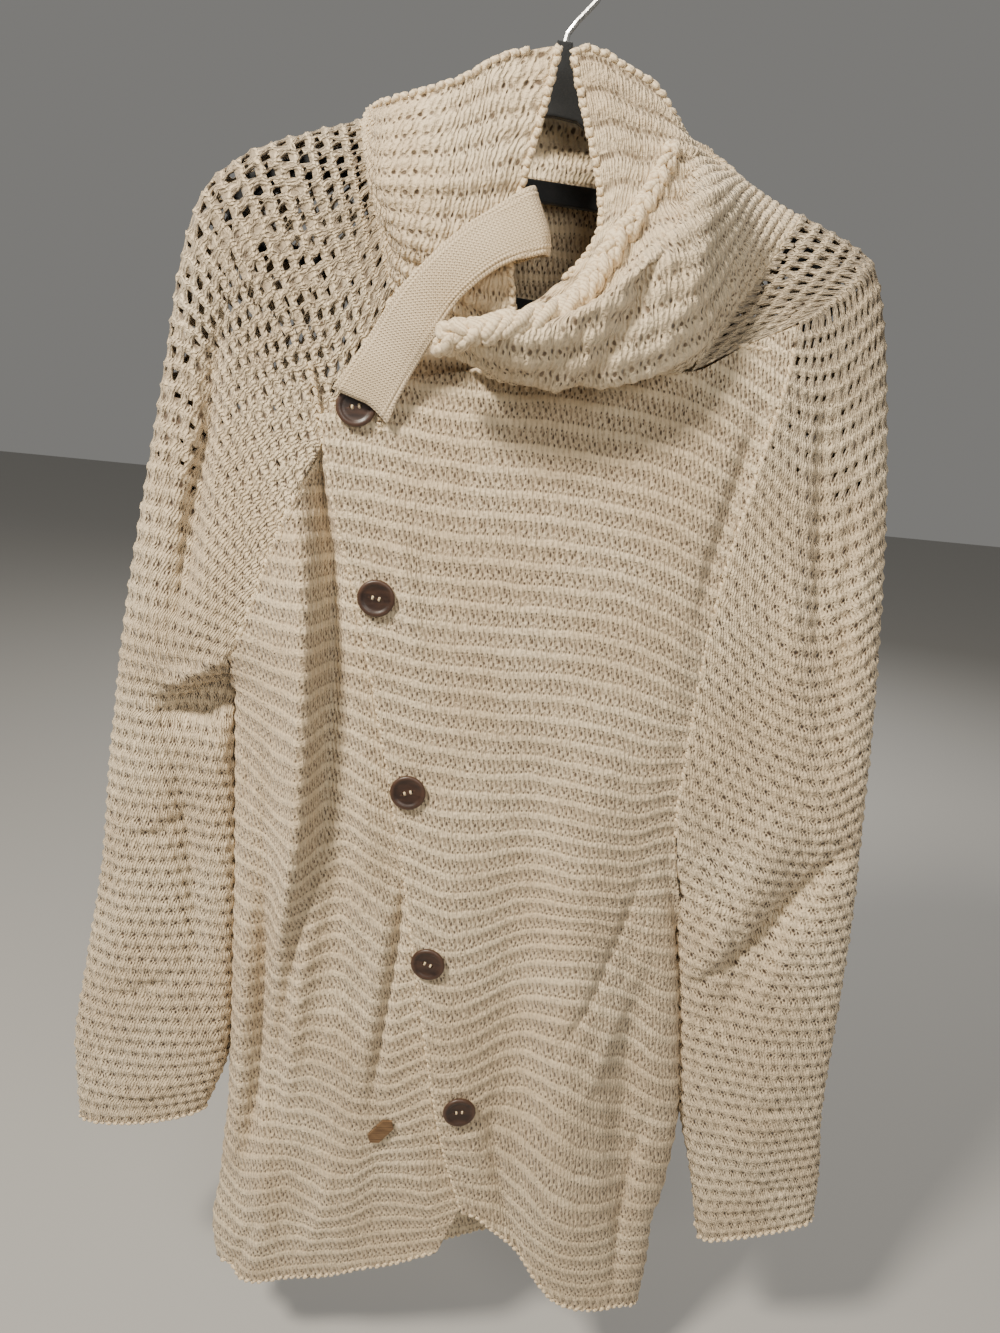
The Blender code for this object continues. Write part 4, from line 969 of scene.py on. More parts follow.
# %% Knitted sleeves
# The levels between which the lace fades, and the share of its holes that stay open, told as
# (level, share).
RIGHT_FADE, LEFT_FADE = (-130, -420), (-96, -372)
RIGHT_HOLES = ((-430, 0.10), (-330, 0.30), (-275, 0.55), (-252, 0.85), (-228, 0.85), (-212, 0.40),
               (-178, 0.35), (-160, 0.85), (-100, 0.95))
LEFT_HOLES = ((-372, 0.0), (-312, 0.20), (-286, 0.55), (-235, 0.60), (-190, 0.85), (-100, 0.90))
KNOT = 1.6              # how far a knot of the lace stands proud
LACE_FLAT = 0.9         # share of the courses' relief that open lace loses
SLEEVE_SHELL = CLOTH - 0.9  # thickness left under the raised stitches


def knitted_sleeve(name, arm, side, fade, holes):
    """Knit a sleeve; side is 1 where the grid's faces point outwards, and -1 where inwards."""
    at, courses = even_courses(arm.rows, SLEEVE_COURSE)
    points = sleeve(arm, at, [cells * SLEEVE_SPOTS for cells in SLEEVE_CELLS])
    shape = points.shape[:2]
    even = courses + courses % 2
    u = np.broadcast_to((np.arange(shape[1]) - 0.5) / SLEEVE_SPOTS, shape)
    v = np.broadcast_to((even - np.arange(shape[0]) / SLEEVE_ROWS)[:, None], shape)
    opened = openness(points[..., 0], points[..., 2], *fade)
    cut = lace_cut(shape, opened, np.interp(points[..., 2], *zip(*holes)))
    q, p = lace_places(shape)[2:]
    knot = np.exp(-((q - 1.0) / 0.9) ** 2 - (FAN[p] / 0.9) ** 2) * opened
    staggered = u + 0.5 * (np.ceil(v - 0.001) % 2)
    height = cell_relief(staggered, v, ridge=0.7, loops=1.7, dimple=1.7, middle=0.85, beads=1)
    height = height * (1 - LACE_FLAT * opened) + KNOT * knot
    normal = grid_normals(points) * side
    points = fan_out(points, opened) + normal * height[..., None]
    print(name, "holes", int(cut.sum()), "faces")
    return drape_grid(name, points, u, v, cut, SLEEVE_SHELL, turned_over=side < 0)


sleeve_right = knitted_sleeve("right_sleeve_knit", RIGHT_ARM, 1, RIGHT_FADE, RIGHT_HOLES)
sleeve_left = knitted_sleeve("left_sleeve_knit", LEFT_ARM, -1, LEFT_FADE, LEFT_HOLES)

# %% [markdown]
# ## Collar
# The collar is picked up along the neck seam and knitted upwards. Its grid starts on the
# top edges of the panels and sleeves and climbs through the sections of its table.

# %% Collar form
COLLAR_CLIMB = 5                # sections from the neck seam up to the cast-off edge


def collar(base, sections, columns, rows):
    """Grid of a collar: columns follow the neck seam, rows climb to the cast-off edge."""
    keys = [row.along for row in sections]
    at = np.linspace(0, 1, columns + 1)
    levels = [even_row(base, columns + 1)]
    for name in CollarSection._fields[1:]:
        points = np.array([getattr(row, name) for row in sections], float)
        levels.append(np.column_stack([smooth(keys, points[:, axis], at) for axis in range(3)]))
    levels = np.array(levels)
    grid = np.empty((rows + 1, columns + 1, 3))
    steps = np.arange(COLLAR_CLIMB + 1)
    fine = np.linspace(0, COLLAR_CLIMB, 241)
    for i in range(columns + 1):
        climb = np.column_stack([smooth(steps, levels[:, i, axis], fine) for axis in range(3)])
        grid[:, i] = even_row(climb, rows + 1)
    return grid


print("a collar climbs through", COLLAR_CLIMB, "sections")

# %% Neck seam
FOOT_GAP = 0.1                  # from a top edge to the collar's foot
COLLAR_RIGHT_START = -10.0      # x where the right collar begins, on the under front,
UNDER_TOP_END = -89.0           # and where that front's top edge ends
BACK_TOP = (-84.5, 104.5)
OVER_TOP_START = LEFT_SLEEVE[0].inner_x - 7.0
COLLAR_LEFT_END = -62.0         # x where the left collar ends, on the over front
COLLAR_JOIN = 2.2               # from the left shoulder's fold to the end of each collar
SLEEVE_COLUMNS = (11, 9)        # mesh lines over a sleeve's top, to the front and the back


def foot_of(edge, inside):
    """The line just beyond a panel's edge, square to it, on the far side from its next row."""
    along = np.gradient(edge, axis=0)
    along = along / np.linalg.norm(along, axis=1)[:, None]
    away = edge - inside
    away = away - np.sum(away * along, axis=1)[:, None] * along
    return edge + FOOT_GAP * away / np.linalg.norm(away, axis=1)[:, None]


def crown_foot(depth, crown, start, end):
    """The collar's foot over a panel's top edge."""
    x = np.linspace(start, end, 24)
    z = outline(crown, x)
    lower = z - 8
    return foot_of(np.column_stack([x, depth(x, z), z]),
                   np.column_stack([x, depth(x, lower), lower]))


def sleeve_foot(arm):
    """The collar's foot over a sleeve's top, from the front seam to the back seam."""
    top = sleeve(arm._replace(lines=()), np.array([0, 0.75]), SLEEVE_COLUMNS, SEAM_GAP)
    return foot_of(top[0], top[1])


over_right, over_left = sleeve_foot(RIGHT_ARM), sleeve_foot(LEFT_ARM)
fold = SLEEVE_COLUMNS[0]
join = np.array([0, COLLAR_JOIN, 0])
foot_right = np.vstack([
    crown_foot(under_front, TOP_UNDER, COLLAR_RIGHT_START, UNDER_TOP_END),
    over_right,
    crown_foot(back_depth, TOP_BACK, *BACK_TOP),
    over_left[fold + 1:][::-1],
    over_left[fold] + join])
foot_left = np.vstack([
    over_left[fold] - join,
    over_left[1:fold][::-1],
    crown_foot(over_front, TOP_OVER, OVER_TOP_START, COLLAR_LEFT_END)])
print("neck seam", round(float(run_of(foot_right)[-1])), "and",
      round(float(run_of(foot_left)[-1])), "mm")

# %% [markdown]
# ## Folds of the cowl
# The cowl is rolled outwards, so it stands in tiers: the plaited edge, a smooth face below
# it, a valley, and the outer tier that drops to the chest. These lines are told on the
# collar's own grid: how far along the neck seam, and how many sections up.

# %% Lines on a collar
CollarLine = namedtuple("CollarLine", "width height path")
PLAIT_PATH = ((1.0, 0.8), (1.0, 1.0), (0.95, 1.12), (0.9, 1.22), (0.85, 1.38), (0.8, 1.62),
              (0.77, 2.15), (0.7, 2.75), (0.62, 3.0), (0.55, 3.15), (0.46, 3.5), (0.38, 3.9),
              (0.30, 4.35))
LEFT_COLLAR_LINES = table(
    CollarLine,
    (9.0, 4.0, PLAIT_PATH),
    (6.5, -9.0, ((0.20, 4.1), (0.28, 3.6), (0.36, 3.2), (0.45, 2.65), (0.52, 2.2), (0.58, 1.6),
                 (0.64, 1.15), (0.70, 0.6))),
    (8.0, 4.0, ((0.24, 2.9), (0.34, 2.4), (0.42, 1.9), (0.48, 1.4), (0.54, 0.9))),
    (5.0, -3.0, ((0.95, 0.7), (0.88, 0.75), (0.78, 0.85), (0.70, 1.3), (0.64, 1.9))),
    (5.0, 2.5, ((0.90, 0.35), (0.80, 0.45), (0.70, 0.9), (0.62, 1.35))),
    (4.0, -2.5, ((0.10, 1.2), (0.22, 1.2), (0.32, 0.8), (0.40, 0.4))),
)
RIGHT_COLLAR_LINES = table(
    CollarLine,
    (5.0, -3.0, ((0.02, 1.6), (0.08, 1.3), (0.15, 1.2), (0.20, 1.6))),
    (6.0, 2.5, ((0.01, 3.2), (0.07, 3.0), (0.14, 2.9), (0.20, 3.1))),
    (6.0, -3.0, ((0.44, 2.2), (0.55, 2.6), (0.66, 2.4), (0.80, 2.8))),
)


def on_grid(grid, path, steps=24):
    """Points of a path told as (along, sections up), read off a collar's grid."""
    path = np.array(path, float)
    run = np.arange(len(path))
    at = np.linspace(0, len(path) - 1, steps * (len(path) - 1) + 1)
    along = np.clip(np.interp(at, run, path[:, 0]), 0, 1) * (grid.shape[1] - 1)
    climb = np.interp(at, run, path[:, 1]) / COLLAR_CLIMB * (grid.shape[0] - 1)
    return grid[np.rint(climb).astype(int), np.rint(along).astype(int)]


def collar_relief(points, lines):
    """Height of the lines at every point of a collar."""
    flat = points.reshape(-1, 3)
    height = np.zeros(len(flat))
    for line in lines:
        path = on_grid(points, line.path, 8)
        nearest = np.full(len(flat), 1e9)
        where = np.zeros(len(flat))
        for k, point in enumerate(path):
            away = np.linalg.norm(flat - point, axis=1)
            closer = away < nearest
            nearest[closer] = away[closer]
            where[closer] = k / (len(path) - 1)
        ends = np.sin(math.pi * where) ** 0.45
        height += line.height * np.exp(-(nearest / line.width) ** 2) * ends
    return height.reshape(points.shape[:2])


def creased_collar(base, sections, columns, rows, lines):
    """Grid of a collar with its lines raised and pressed in."""
    points = collar(base, sections, columns, rows)
    return points - grid_normals(points) * collar_relief(points, lines)[..., None]


print("lines on the collars", len(LEFT_COLLAR_LINES) + len(RIGHT_COLLAR_LINES))

# %% Knitted collars
def knitted_collar(name, base, sections, lines, cells, courses, spots, loose=(0, 0)):
    """A collar's cloth; loose gives the rows and columns its far end hangs free of the neck."""
    points = creased_collar(base, sections, cells * spots, courses * ROWS, lines)
    shape = points.shape[:2]
    u = np.broadcast_to(np.arange(shape[1]) / spots, shape)
    v = np.broadcast_to((np.arange(shape[0]) / ROWS)[:, None], shape)
    height = cell_relief(u, v, ridge=0.8, loops=1.4, dimple=1.2, beads=1)
    points = points - grid_normals(points) * height[..., None]
    cut = np.zeros((shape[0] - 1, shape[1] - 1), bool)
    cut[:loose[0], cut.shape[1] - loose[1]:] = True
    return drape_grid(name, points, u, v, cut, PANEL_SHELL, turned_over=True)


collar_right = knitted_collar("right_collar_knit", foot_right, COLLAR_RIGHT, RIGHT_COLLAR_LINES,
                              cells=56, courses=12, spots=5)
collar_left = knitted_collar("left_collar_knit", foot_left, COLLAR_LEFT, LEFT_COLLAR_LINES,
                             cells=32, courses=15, spots=6, loose=(11, 16))

# %% [markdown]
# ## Yarn
# The yarn is a dry, slightly hairy cotton in pale cream. Its shader reads the place on the
# cloth in cells, so every stitch is drawn at its true size: the pale band of loops, the two
# strands of the Λ, the dark pits between them, the strokes along the yarn and the fine fibre.
# The recesses and the pits are painted in shade, and the crests of the yarn are painted lighter, as
# lit.

# %% A recipe of nodes
LOOKS = {"sheen": "Sheen Weight", "sheen_roughness": "Sheen Roughness",
         "specular": "Specular IOR Level", "metallic": "Metallic",
         "coat": "Coat Weight", "coat_roughness": "Coat Roughness"}


class Recipe:
    """The nodes of one material. Each method adds a node and returns what comes out of it."""

    def __init__(self, name):
        self.material = bpy.data.materials.new(name)
        self.material.use_nodes = True
        self.nodes = self.material.node_tree.nodes
        self.links = self.material.node_tree.links
        self.shader = self.nodes["Principled BSDF"]
        self.spot = self.node("ShaderNodeTexCoord").outputs["Object"]

    def node(self, kind, *inputs, **settings):
        """Add a node; inputs are values or links in order, and None leaves one as it is."""
        made = self.nodes.new(kind)
        for key, value in settings.items():
            setattr(made, key, value)
        for place, value in enumerate(inputs):
            if isinstance(value, bpy.types.NodeSocket):
                self.links.new(value, made.inputs[place])
            elif value is not None:
                made.inputs[place].default_value = value
        return made

    def math(self, operation, *values):
        return self.node("ShaderNodeMath", *values, operation=operation).outputs[0]

    def vector(self, operation, *values):
        return self.node("ShaderNodeVectorMath", *values, operation=operation).outputs[0]

    def apart(self, first, second):
        """How far apart two values are."""
        return self.math("ABSOLUTE", self.math("SUBTRACT", first, second))

    def stir(self, value, noise, amount):
        """Add a noise that is as often above nothing as below it."""
        return self.math("MULTIPLY_ADD", self.math("SUBTRACT", noise, 0.5), amount, value)

    def ease(self, value, low, high, start=0.0, end=1.0):
        """A soft step: start below low, end above high."""
        return self.node("ShaderNodeMapRange", value, low, high, start, end,
                         interpolation_type="SMOOTHSTEP").outputs[0]

    def oval(self, place, centre, radius):
        """1 inside an oval, 0 outside it, with a soft rim."""
        moved = self.vector("SUBTRACT", place, (*centre, 0))
        scaled = self.vector("DIVIDE", moved, (*radius, 1))
        far = self.node("ShaderNodeVectorMath", scaled, operation="LENGTH").outputs["Value"]
        return self.ease(far, 0.55, 1.35, 1.0, 0.0)

    def noise(self, place, scale, detail=2.0, roughness=0.5):
        return self.node("ShaderNodeTexNoise", place, None, scale, detail, roughness).outputs[0]

    def drifted(self, cells, scale, detail, reach):
        """Shift the cells a little, one way here and another way there."""
        drift = self.node("ShaderNodeTexNoise", self.spot, None, scale, detail).outputs[1]
        drift = self.vector("SUBTRACT", drift, (0.5, 0.5, 0.5))
        return self.vector("ADD", cells, self.vector("MULTIPLY", drift, reach))

    def mix(self, share, first, second):
        """A blend of two colours, each a value or what comes out of a node."""
        made = self.node("ShaderNodeMix", share, data_type="RGBA")
        for value, place in ((first, 6), (second, 7)):
            if isinstance(value, bpy.types.NodeSocket):
                self.links.new(value, made.inputs[place])
            else:
                made.inputs[place].default_value = (*value, 1)
        return made.outputs[2]

    def finish(self, colour, roughness, height, depth, strength, **looks):
        """Send colour, roughness and relief to the shader, and set its other looks."""
        self.links.new(colour, self.shader.inputs["Base Color"])
        self.links.new(roughness, self.shader.inputs["Roughness"])
        bump = self.node("ShaderNodeBump", strength, depth)
        self.links.new(height, bump.inputs["Height"])
        self.links.new(bump.outputs[0], self.shader.inputs["Normal"])
        for look, value in looks.items():
            self.shader.inputs[LOOKS[look]].default_value = value
        return self.material


print("recipe methods", [name for name in vars(Recipe) if not name.startswith("_")])

# %% Patterns of the knit
# Everything in a pattern is told in cells. A pit is (across, up, half width, half height), with
# across counted from the middle of the cell. A strand is (top of the Λ, lean, half width).
YARN = (0.76, 0.60, 0.39)
YARN_PALE = (0.87, 0.715, 0.485)
# Painted shade: in the recesses of the knit, and darker in its pits.
RECESS_SHADE = (0.44, 0.325, 0.21)
PIT_SHADE = (0.075, 0.042, 0.022)
LACE_SHADE = (0.30, 0.24, 0.165)
Pattern = namedtuple(
    "Pattern", "ridge_middle ridge_half low_tone strokes pits strands brick pit_share")
BODY_PATTERN = Pattern(
    ridge_middle=0.19, ridge_half=0.20, low_tone=0.58, strokes=2,
    pits=((0.25, 0.04, 0.07, 0.05), (0.25, 0.43, 0.085, 0.07), (0.0, 0.76, 0.09, 0.11),
          (0.5, 0.60, 0.08, 0.08), (0.22, 0.88, 0.06, 0.05)),
    strands=(0.66, 0.62, 0.065), brick=False, pit_share=0.9)
SLEEVE_PATTERN = Pattern(
    ridge_middle=0.86, ridge_half=0.26, low_tone=0.78, strokes=4,
    pits=((0.5, 0.38, 0.135, 0.19), (0.20, 0.30, 0.055, 0.12), (0.36, 0.12, 0.05, 0.09),
          (0.28, 0.62, 0.05, 0.06)),
    strands=(0.72, 1.3, 0.09), brick=True, pit_share=1.0)
COLLAR_PATTERN = Pattern(
    ridge_middle=0.22, ridge_half=0.30, low_tone=0.76, strokes=3,
    pits=((0.0, 0.70, 0.11, 0.13), (0.5, 0.76, 0.10, 0.12), (0.25, 0.50, 0.06, 0.09)),
    strands=(0.58, 0.40, 0.08), brick=False, pit_share=0.9)
print("pits of a sleeve's cell", len(SLEEVE_PATTERN.pits))

# %% Knit
def cell_places(recipe, pattern, wander):
    """The wandering cells, with a across one from its middle, b up it, and u along the course."""
    cells = recipe.node("ShaderNodeUVMap", uv_map="stitches").outputs[0]
    for scale, reach in ((170.0, wander), (30.0, 2.2 * wander)):
        cells = recipe.drifted(cells, scale, 1.0, (2 * reach, reach, 0))
    parts = recipe.node("ShaderNodeSeparateXYZ", cells)
    u, v = parts.outputs[0], parts.outputs[1]
    if pattern.brick:
        course = recipe.math("ADD", recipe.math("FLOOR", v), 1.0)
        shift = recipe.math("MULTIPLY", recipe.math("FLOORED_MODULO", course, 2.0), 0.5)
        u = recipe.math("ADD", u, shift)
    a = recipe.apart(recipe.math("FRACT", u), 0.5)
    return cells, a, recipe.math("FRACT", v), u


def cell_marks(recipe, pattern, cells, a, b):
    """The pits, the raised ridge and the strands of the Λ in a cell, each from 0 to 1."""
    place = recipe.node("ShaderNodeCombineXYZ", a, b).outputs[0]
    pits = None
    for x, y, across, up in pattern.pits:
        pit = recipe.oval(place, (x, y), (across, up))
        pits = pit if pits is None else recipe.math("MAXIMUM", pits, pit)
    away = recipe.apart(b, pattern.ridge_middle)
    ridge = recipe.ease(away, 0.45 * pattern.ridge_half, 1.35 * pattern.ridge_half, 1.0, 0.0)
    apex, lean, wide = pattern.strands
    line = recipe.math("SUBTRACT", apex, recipe.math("MULTIPLY", a, lean))
    strand = recipe.ease(recipe.apart(b, line), 0.3 * wide, 1.3 * wide, 1.0, 0.0)
    strand = recipe.math("MULTIPLY", strand, recipe.ease(a, 0.34, 0.42, 1.0, 0.0))
    faint = recipe.noise(recipe.vector("MULTIPLY", cells, (1.3, 1.1, 0)), 1.0, 1.0)
    pits = recipe.math("MULTIPLY", pits, recipe.ease(faint, 0.34, 0.56, 0.45, 1.0))
    return pits, ridge, strand


def open_lace(recipe, a, b, streak, lace):
    """Where the lace is painted in shade between its strands: a fan of them under a band of knots.
    """
    level = recipe.node("ShaderNodeSeparateXYZ", recipe.spot).outputs[2]
    opened = recipe.ease(level, lace[1] * MM, lace[0] * MM)
    turn = recipe.math("DIVIDE", a, recipe.math("MULTIPLY_ADD", b, -1.0, 1.06))
    web = recipe.math("COSINE", recipe.math("MULTIPLY", turn, 2 * math.pi / 0.24))
    web = recipe.ease(recipe.stir(web, streak, 1.6), -0.15, 0.50)
    web = recipe.math("MULTIPLY", web, recipe.ease(turn, 0.66, 0.80, 1.0, 0.0))
    band = recipe.stir(recipe.apart(b, 0.90), streak, 0.12)
    web = recipe.math("MAXIMUM", web, recipe.ease(band, 0.05, 0.12, 1.0, 0.0))
    return recipe.math("MULTIPLY", recipe.math("MULTIPLY_ADD", web, -1.0, 1.0), opened)


def knit_material(name, pattern, wander=0.14, lace=None):
    """Cream yarn knitted in the given pattern, drawn from the cloth's own cells.

    lace is two levels: above the first the knit is open, in fans of single strands, and below
    the second it is closed.
    """
    recipe = Recipe(name)
    cells, a, b, u = cell_places(recipe, pattern, wander)
    pits, ridge, strand = cell_marks(recipe, pattern, cells, a, b)
    slant = recipe.math("MULTIPLY_ADD", b, 0.9 / pattern.strokes, u)
    stroke = recipe.math("COSINE", recipe.math("MULTIPLY", slant, 2 * math.pi * pattern.strokes))
    lump = recipe.noise(recipe.spot, 330.0, 2.0, 0.6)
    streak = recipe.noise(recipe.vector("MULTIPLY", cells, (5.6, 2.2, 0)), 1.0, 3.0, 0.7)
    fibre = recipe.noise(recipe.spot, 750.0, 2.0, 0.7)
    # The tone runs from the recesses to the crests of the yarn, and the colour follows it: painted
    # shade in the recesses, painted light on the crests.
    tone = recipe.math("MULTIPLY_ADD", ridge, 0.93 - pattern.low_tone, pattern.low_tone)
    tone = recipe.math("MAXIMUM", tone, recipe.math("MULTIPLY", strand, 0.92))
    tone = recipe.math("MULTIPLY_ADD", stroke, 0.17, tone)
    for grain, amount in ((streak, 1.45), (fibre, 0.40), (lump, 0.70)):
        tone = recipe.stir(tone, grain, amount)
    patch = recipe.ease(recipe.noise(recipe.spot, 13.0, 3.0), 0.35, 0.65)
    yarn = recipe.mix(patch, YARN, YARN_PALE)
    colour = recipe.mix(recipe.ease(tone, 0.18, 0.98), RECESS_SHADE, yarn)
    # The pits are painted near black, as shade in the holes of the knit.
    colour = recipe.mix(recipe.math("MULTIPLY", pits, pattern.pit_share), colour, PIT_SHADE)
    # So does the relief, with deeper pits and plumper strokes.
    height = recipe.math("MULTIPLY_ADD", pits, -0.9, tone)
    height = recipe.math("MULTIPLY_ADD", stroke, 0.26, height)
    height = recipe.stir(height, lump, 1.1)
    if lace:
        gap = open_lace(recipe, a, b, streak, lace)
        # The gaps between the strands are painted in shade, as seen through the lace.
        colour = recipe.mix(recipe.math("MULTIPLY", gap, 0.80), colour, LACE_SHADE)
        height = recipe.math("MULTIPLY_ADD", gap, -0.9, height)
    return recipe.finish(colour, recipe.ease(fibre, 0.2, 0.8, 0.80, 0.96), height, 0.0012, 0.9,
                         sheen=0.2, sheen_roughness=0.55, specular=0.25)


# A sleeve's last pair is its lace: open above the first level, closed below the second.
body_knit = knit_material("body_knit", BODY_PATTERN)
right_sleeve_yarn = knit_material("right_sleeve_knit", SLEEVE_PATTERN, 0.17, (-130, -400))
left_sleeve_yarn = knit_material("left_sleeve_knit", SLEEVE_PATTERN, 0.17, (-100, -360))
collar_knit = knit_material("collar_knit", COLLAR_PATTERN, 0.17)
print("knit nodes", len(body_knit.node_tree.nodes))

# %% Dress the cloth
def dress(piece, finish, node=None):
    """Give a piece its finish and its body, and hide the part of the frame it stands for."""
    piece.data.materials.clear()
    piece.data.materials.append(finish)
    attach(piece, "root")
    if node:
        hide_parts(node)


dress(front_left, body_knit, "front_left")
dress(front_right, body_knit, "front_right")
dress(back, body_knit, "back")
dress(sleeve_right, right_sleeve_yarn, "sleeve_right")
dress(sleeve_left, left_sleeve_yarn, "sleeve_left")
dress(collar_left, collar_knit, "collar_left")
dress(collar_right, collar_knit, "collar_right")
print("dressed seven pieces of cloth")

# %% [markdown]
# ## The plait and the cast-off edges
# The left collar's rolled edge is a thick plait: plump stitches in slanted rows that meet in
# a chain of V shapes. The same stitch, smaller, finishes the free edges of the garment. One
# stitch is shaped from a small sphere and copied along each edge.

# %% One plump stitch
NARROWING = 0.28        # Creases drawn one by one

bpy.ops.mesh.primitive_uv_sphere_add(segments=7, ring_count=5, radius=1)
stitch = bpy.context.object
for vertex in stitch.data.vertices:
    x, y, z = vertex.co
    narrow = 1 - NARROWING * x
    vertex.co = (x, y * narrow, z * narrow)
stitch.data.shade_smooth()
print("a stitch has", triangles(stitch.data), "triangles")

# %% A chain of stitches
NEXT = 1.5              # the direction along an edge is read this far ahead


def chain(name, points, outs, rows, size, step, lift, fade=0.0):
    """Copy the stitch along an edge; each row is (turn round the edge, lean along it).

    size is half a stitch's length, width and height, step the way from one to the next, and
    lift how far they stand off the edge. fade makes the last ones smaller by that share.
    """
    run = run_of(points)
    copies = []
    for number, place in enumerate(np.arange(0.5 * step, run[-1], step)):
        point, further, out = (
            Vector([float(np.interp(place + beyond, run, values[:, k])) for k in range(3)])
            for values, beyond in ((points, 0), (points, NEXT), (outs, 0)))
        along = (further - point).normalized()
        if along.length < 0.5:
            continue
        out = (out - out.dot(along) * along).normalized()
        beside = out.cross(along).normalized()
        thin = 1 - fade * (place / run[-1]) ** 2
        for turn, lean in rows:
            facing = out * math.cos(turn) + beside * math.sin(turn)
            across = facing.cross(along).normalized()
            axis = (along * math.cos(lean) + across * math.sin(lean)).normalized()
            wobble = (1 + 0.12 * math.sin(2.7 * number + 3 * turn)) * thin
            turned = Matrix((axis * size[0] * wobble, facing.cross(axis) * size[1] * wobble,
                             facing * size[2] * wobble)).transposed().to_4x4()
            copy = bpy.data.objects.new("stitch", stitch.data.copy())
            copy.data.transform(Matrix.Translation((point + facing * lift * wobble) * MM)
                                @ turned @ Matrix.Scale(MM, 4))
            bpy.context.scene.collection.objects.link(copy)
            copies.append(copy)
    bpy.ops.object.select_all(action="DESELECT")
    for copy in copies:
        copy.select_set(True)
    bpy.context.view_layer.objects.active = copies[0]
    bpy.ops.object.join()
    joined = bpy.context.object
    joined.name = joined.data.name = name
    print(name, "stitches", len(copies))
    return joined


print("the direction of an edge is read", NEXT, "mm ahead")

# %% The plait
PLAIT = ((-0.5, 0.6), (0.5, -0.6), (-1.35, 0.5), (1.35, -0.5))


def evened(values, reach=4):
    """A row of points or directions, each averaged with its neighbours."""
    share = np.ones(2 * reach + 1) / (2 * reach + 1)
    return np.column_stack([
        np.convolve(np.pad(values[:, k], reach, mode="edge"), share, "valid") for k in range(3)])


left_grid = creased_collar(foot_left, COLLAR_LEFT, 176, 120, LEFT_COLLAR_LINES)
right_grid = collar(foot_right, COLLAR_RIGHT, 200, 90)
left_out, right_out = -grid_normals(left_grid), -grid_normals(right_grid)
cowl_rim = chain("cowl_rim", evened(on_grid(left_grid, PLAIT_PATH, 6)),
                 evened(on_grid(left_out, PLAIT_PATH, 6)),
                 PLAIT, size=(8.6, 4.3, 4.0), step=8.8, lift=5.0, fade=0.45)

# %% Cast-off edges
EDGE = ((0.75, 0.5), (2.4, -0.5))       # one row of stitches to the front, one to the back
SELVEDGE = ((0.6, 0.5), (-0.6, -0.5), (2.6, 0.5))
FINE = (3.4, 1.6, 1.4)                  # length, width and height of half a stitch
PLUMP = (3.6, 1.9, 1.7)
HEM = {"rows": EDGE, "size": FINE, "step": 5.6, "lift": 0.9}


def panel_edge(surface, x, z):
    """Points and outward directions along an edge of a panel."""
    points = np.column_stack([x, surface(x, z), z])
    slopes = np.column_stack([surface(x + 1, z) - surface(x - 1, z), -2 * np.ones(len(x)),
                              surface(x, z + 1) - surface(x, z - 1)])
    return points, slopes


# Down the over front's edge to just above the hem, then along the three hems and the cuffs.
levels = np.linspace(-252, -930, 240)
levels = levels[levels > outline(HEM_OVER, outline(OVER_EDGE, levels)) + 2]
edges = {"over_front_selvedge": chain(
    "over_front_selvedge", *panel_edge(draped_over, outline(OVER_EDGE, levels), levels),
    EDGE, (3.2, 1.3, 1.1), 5.2, 0.4)}
for name, surface, hem, start, end, count in (
        ("over_front_hem", draped_over, HEM_OVER, 14, 163, 90),
        ("under_front_hem", draped_under, HEM_UNDER, -186, -12, 90),
        ("back_hem", draped_back, HEM_BACK, -186, 160, 120)):
    x = np.linspace(start, end, count)
    edges[name] = chain(name, *panel_edge(surface, x, outline(hem, x) + 0.5), **HEM)
for name, arm in (("right_cuff", RIGHT_ARM), ("left_cuff", LEFT_ARM)):
    rim = sleeve(arm, np.array([len(arm.rows) - 1.0]), (60, 60))[0]
    edges[name] = chain(name, rim, rim - rim.mean(axis=0), **HEM)

# %% Edges of the collars, seams and the tail
# Which row or column of a collar's grid is cast off; the slice leaves out what lies in the neck.
for name, grid, out, line, rows, step, lift in (
        ("right_collar_selvedge", right_grid, right_out, np.s_[4:, 0], SELVEDGE, 5.4, 0.8),
        ("left_collar_selvedge", left_grid, left_out, np.s_[62:, -1], SELVEDGE, 5.4, 0.8),
        ("right_collar_cast_off", right_grid, right_out, np.s_[-1, 4:], SELVEDGE[:2], 5.6, 0.6),
        ("left_collar_cast_off", left_grid, left_out, np.s_[-1, 8:], SELVEDGE[:2], 5.6, 0.6)):
    edges[name] = chain(name, grid[line], out[line], rows, PLUMP, step, lift)
for name, rows, surface, top, low in (
        ("right_raglan_seam", RIGHT_SLEEVE, draped_under, -262, -450),
        ("left_raglan_seam", LEFT_SLEEVE, draped_over, -216, -552)):
    levels = np.linspace(top, low, 200)
    seam = panel_edge(surface, seam_x(rows, "inner", levels, 1), levels)
    edges[name] = chain(name, *seam, ((0.0, 0.32),), (3.9, 1.5, 1.2), 5.2, 0.3)

# The frayed end of thread that hangs beside the top button.
run = np.linspace(0, 1, 20)
tail, tail_out = panel_edge(draped_over, -91.0 - 3.0 * np.sin(2.2 * run) + 1.5 * run,
                            -266.0 - 26.0 * run)
tail[:, 1] -= 1.5
edges["strap_tail"] = chain("strap_tail", tail, tail_out, ((0.5, 0.9), (-0.5, -0.9)),
                            (3.6, 1.1, 1.0), 3.6, 0.8, fade=0.5)
bpy.data.objects.remove(stitch)

# %% Yarn of the plait
YARN_DEEP = (0.50, 0.37, 0.23)


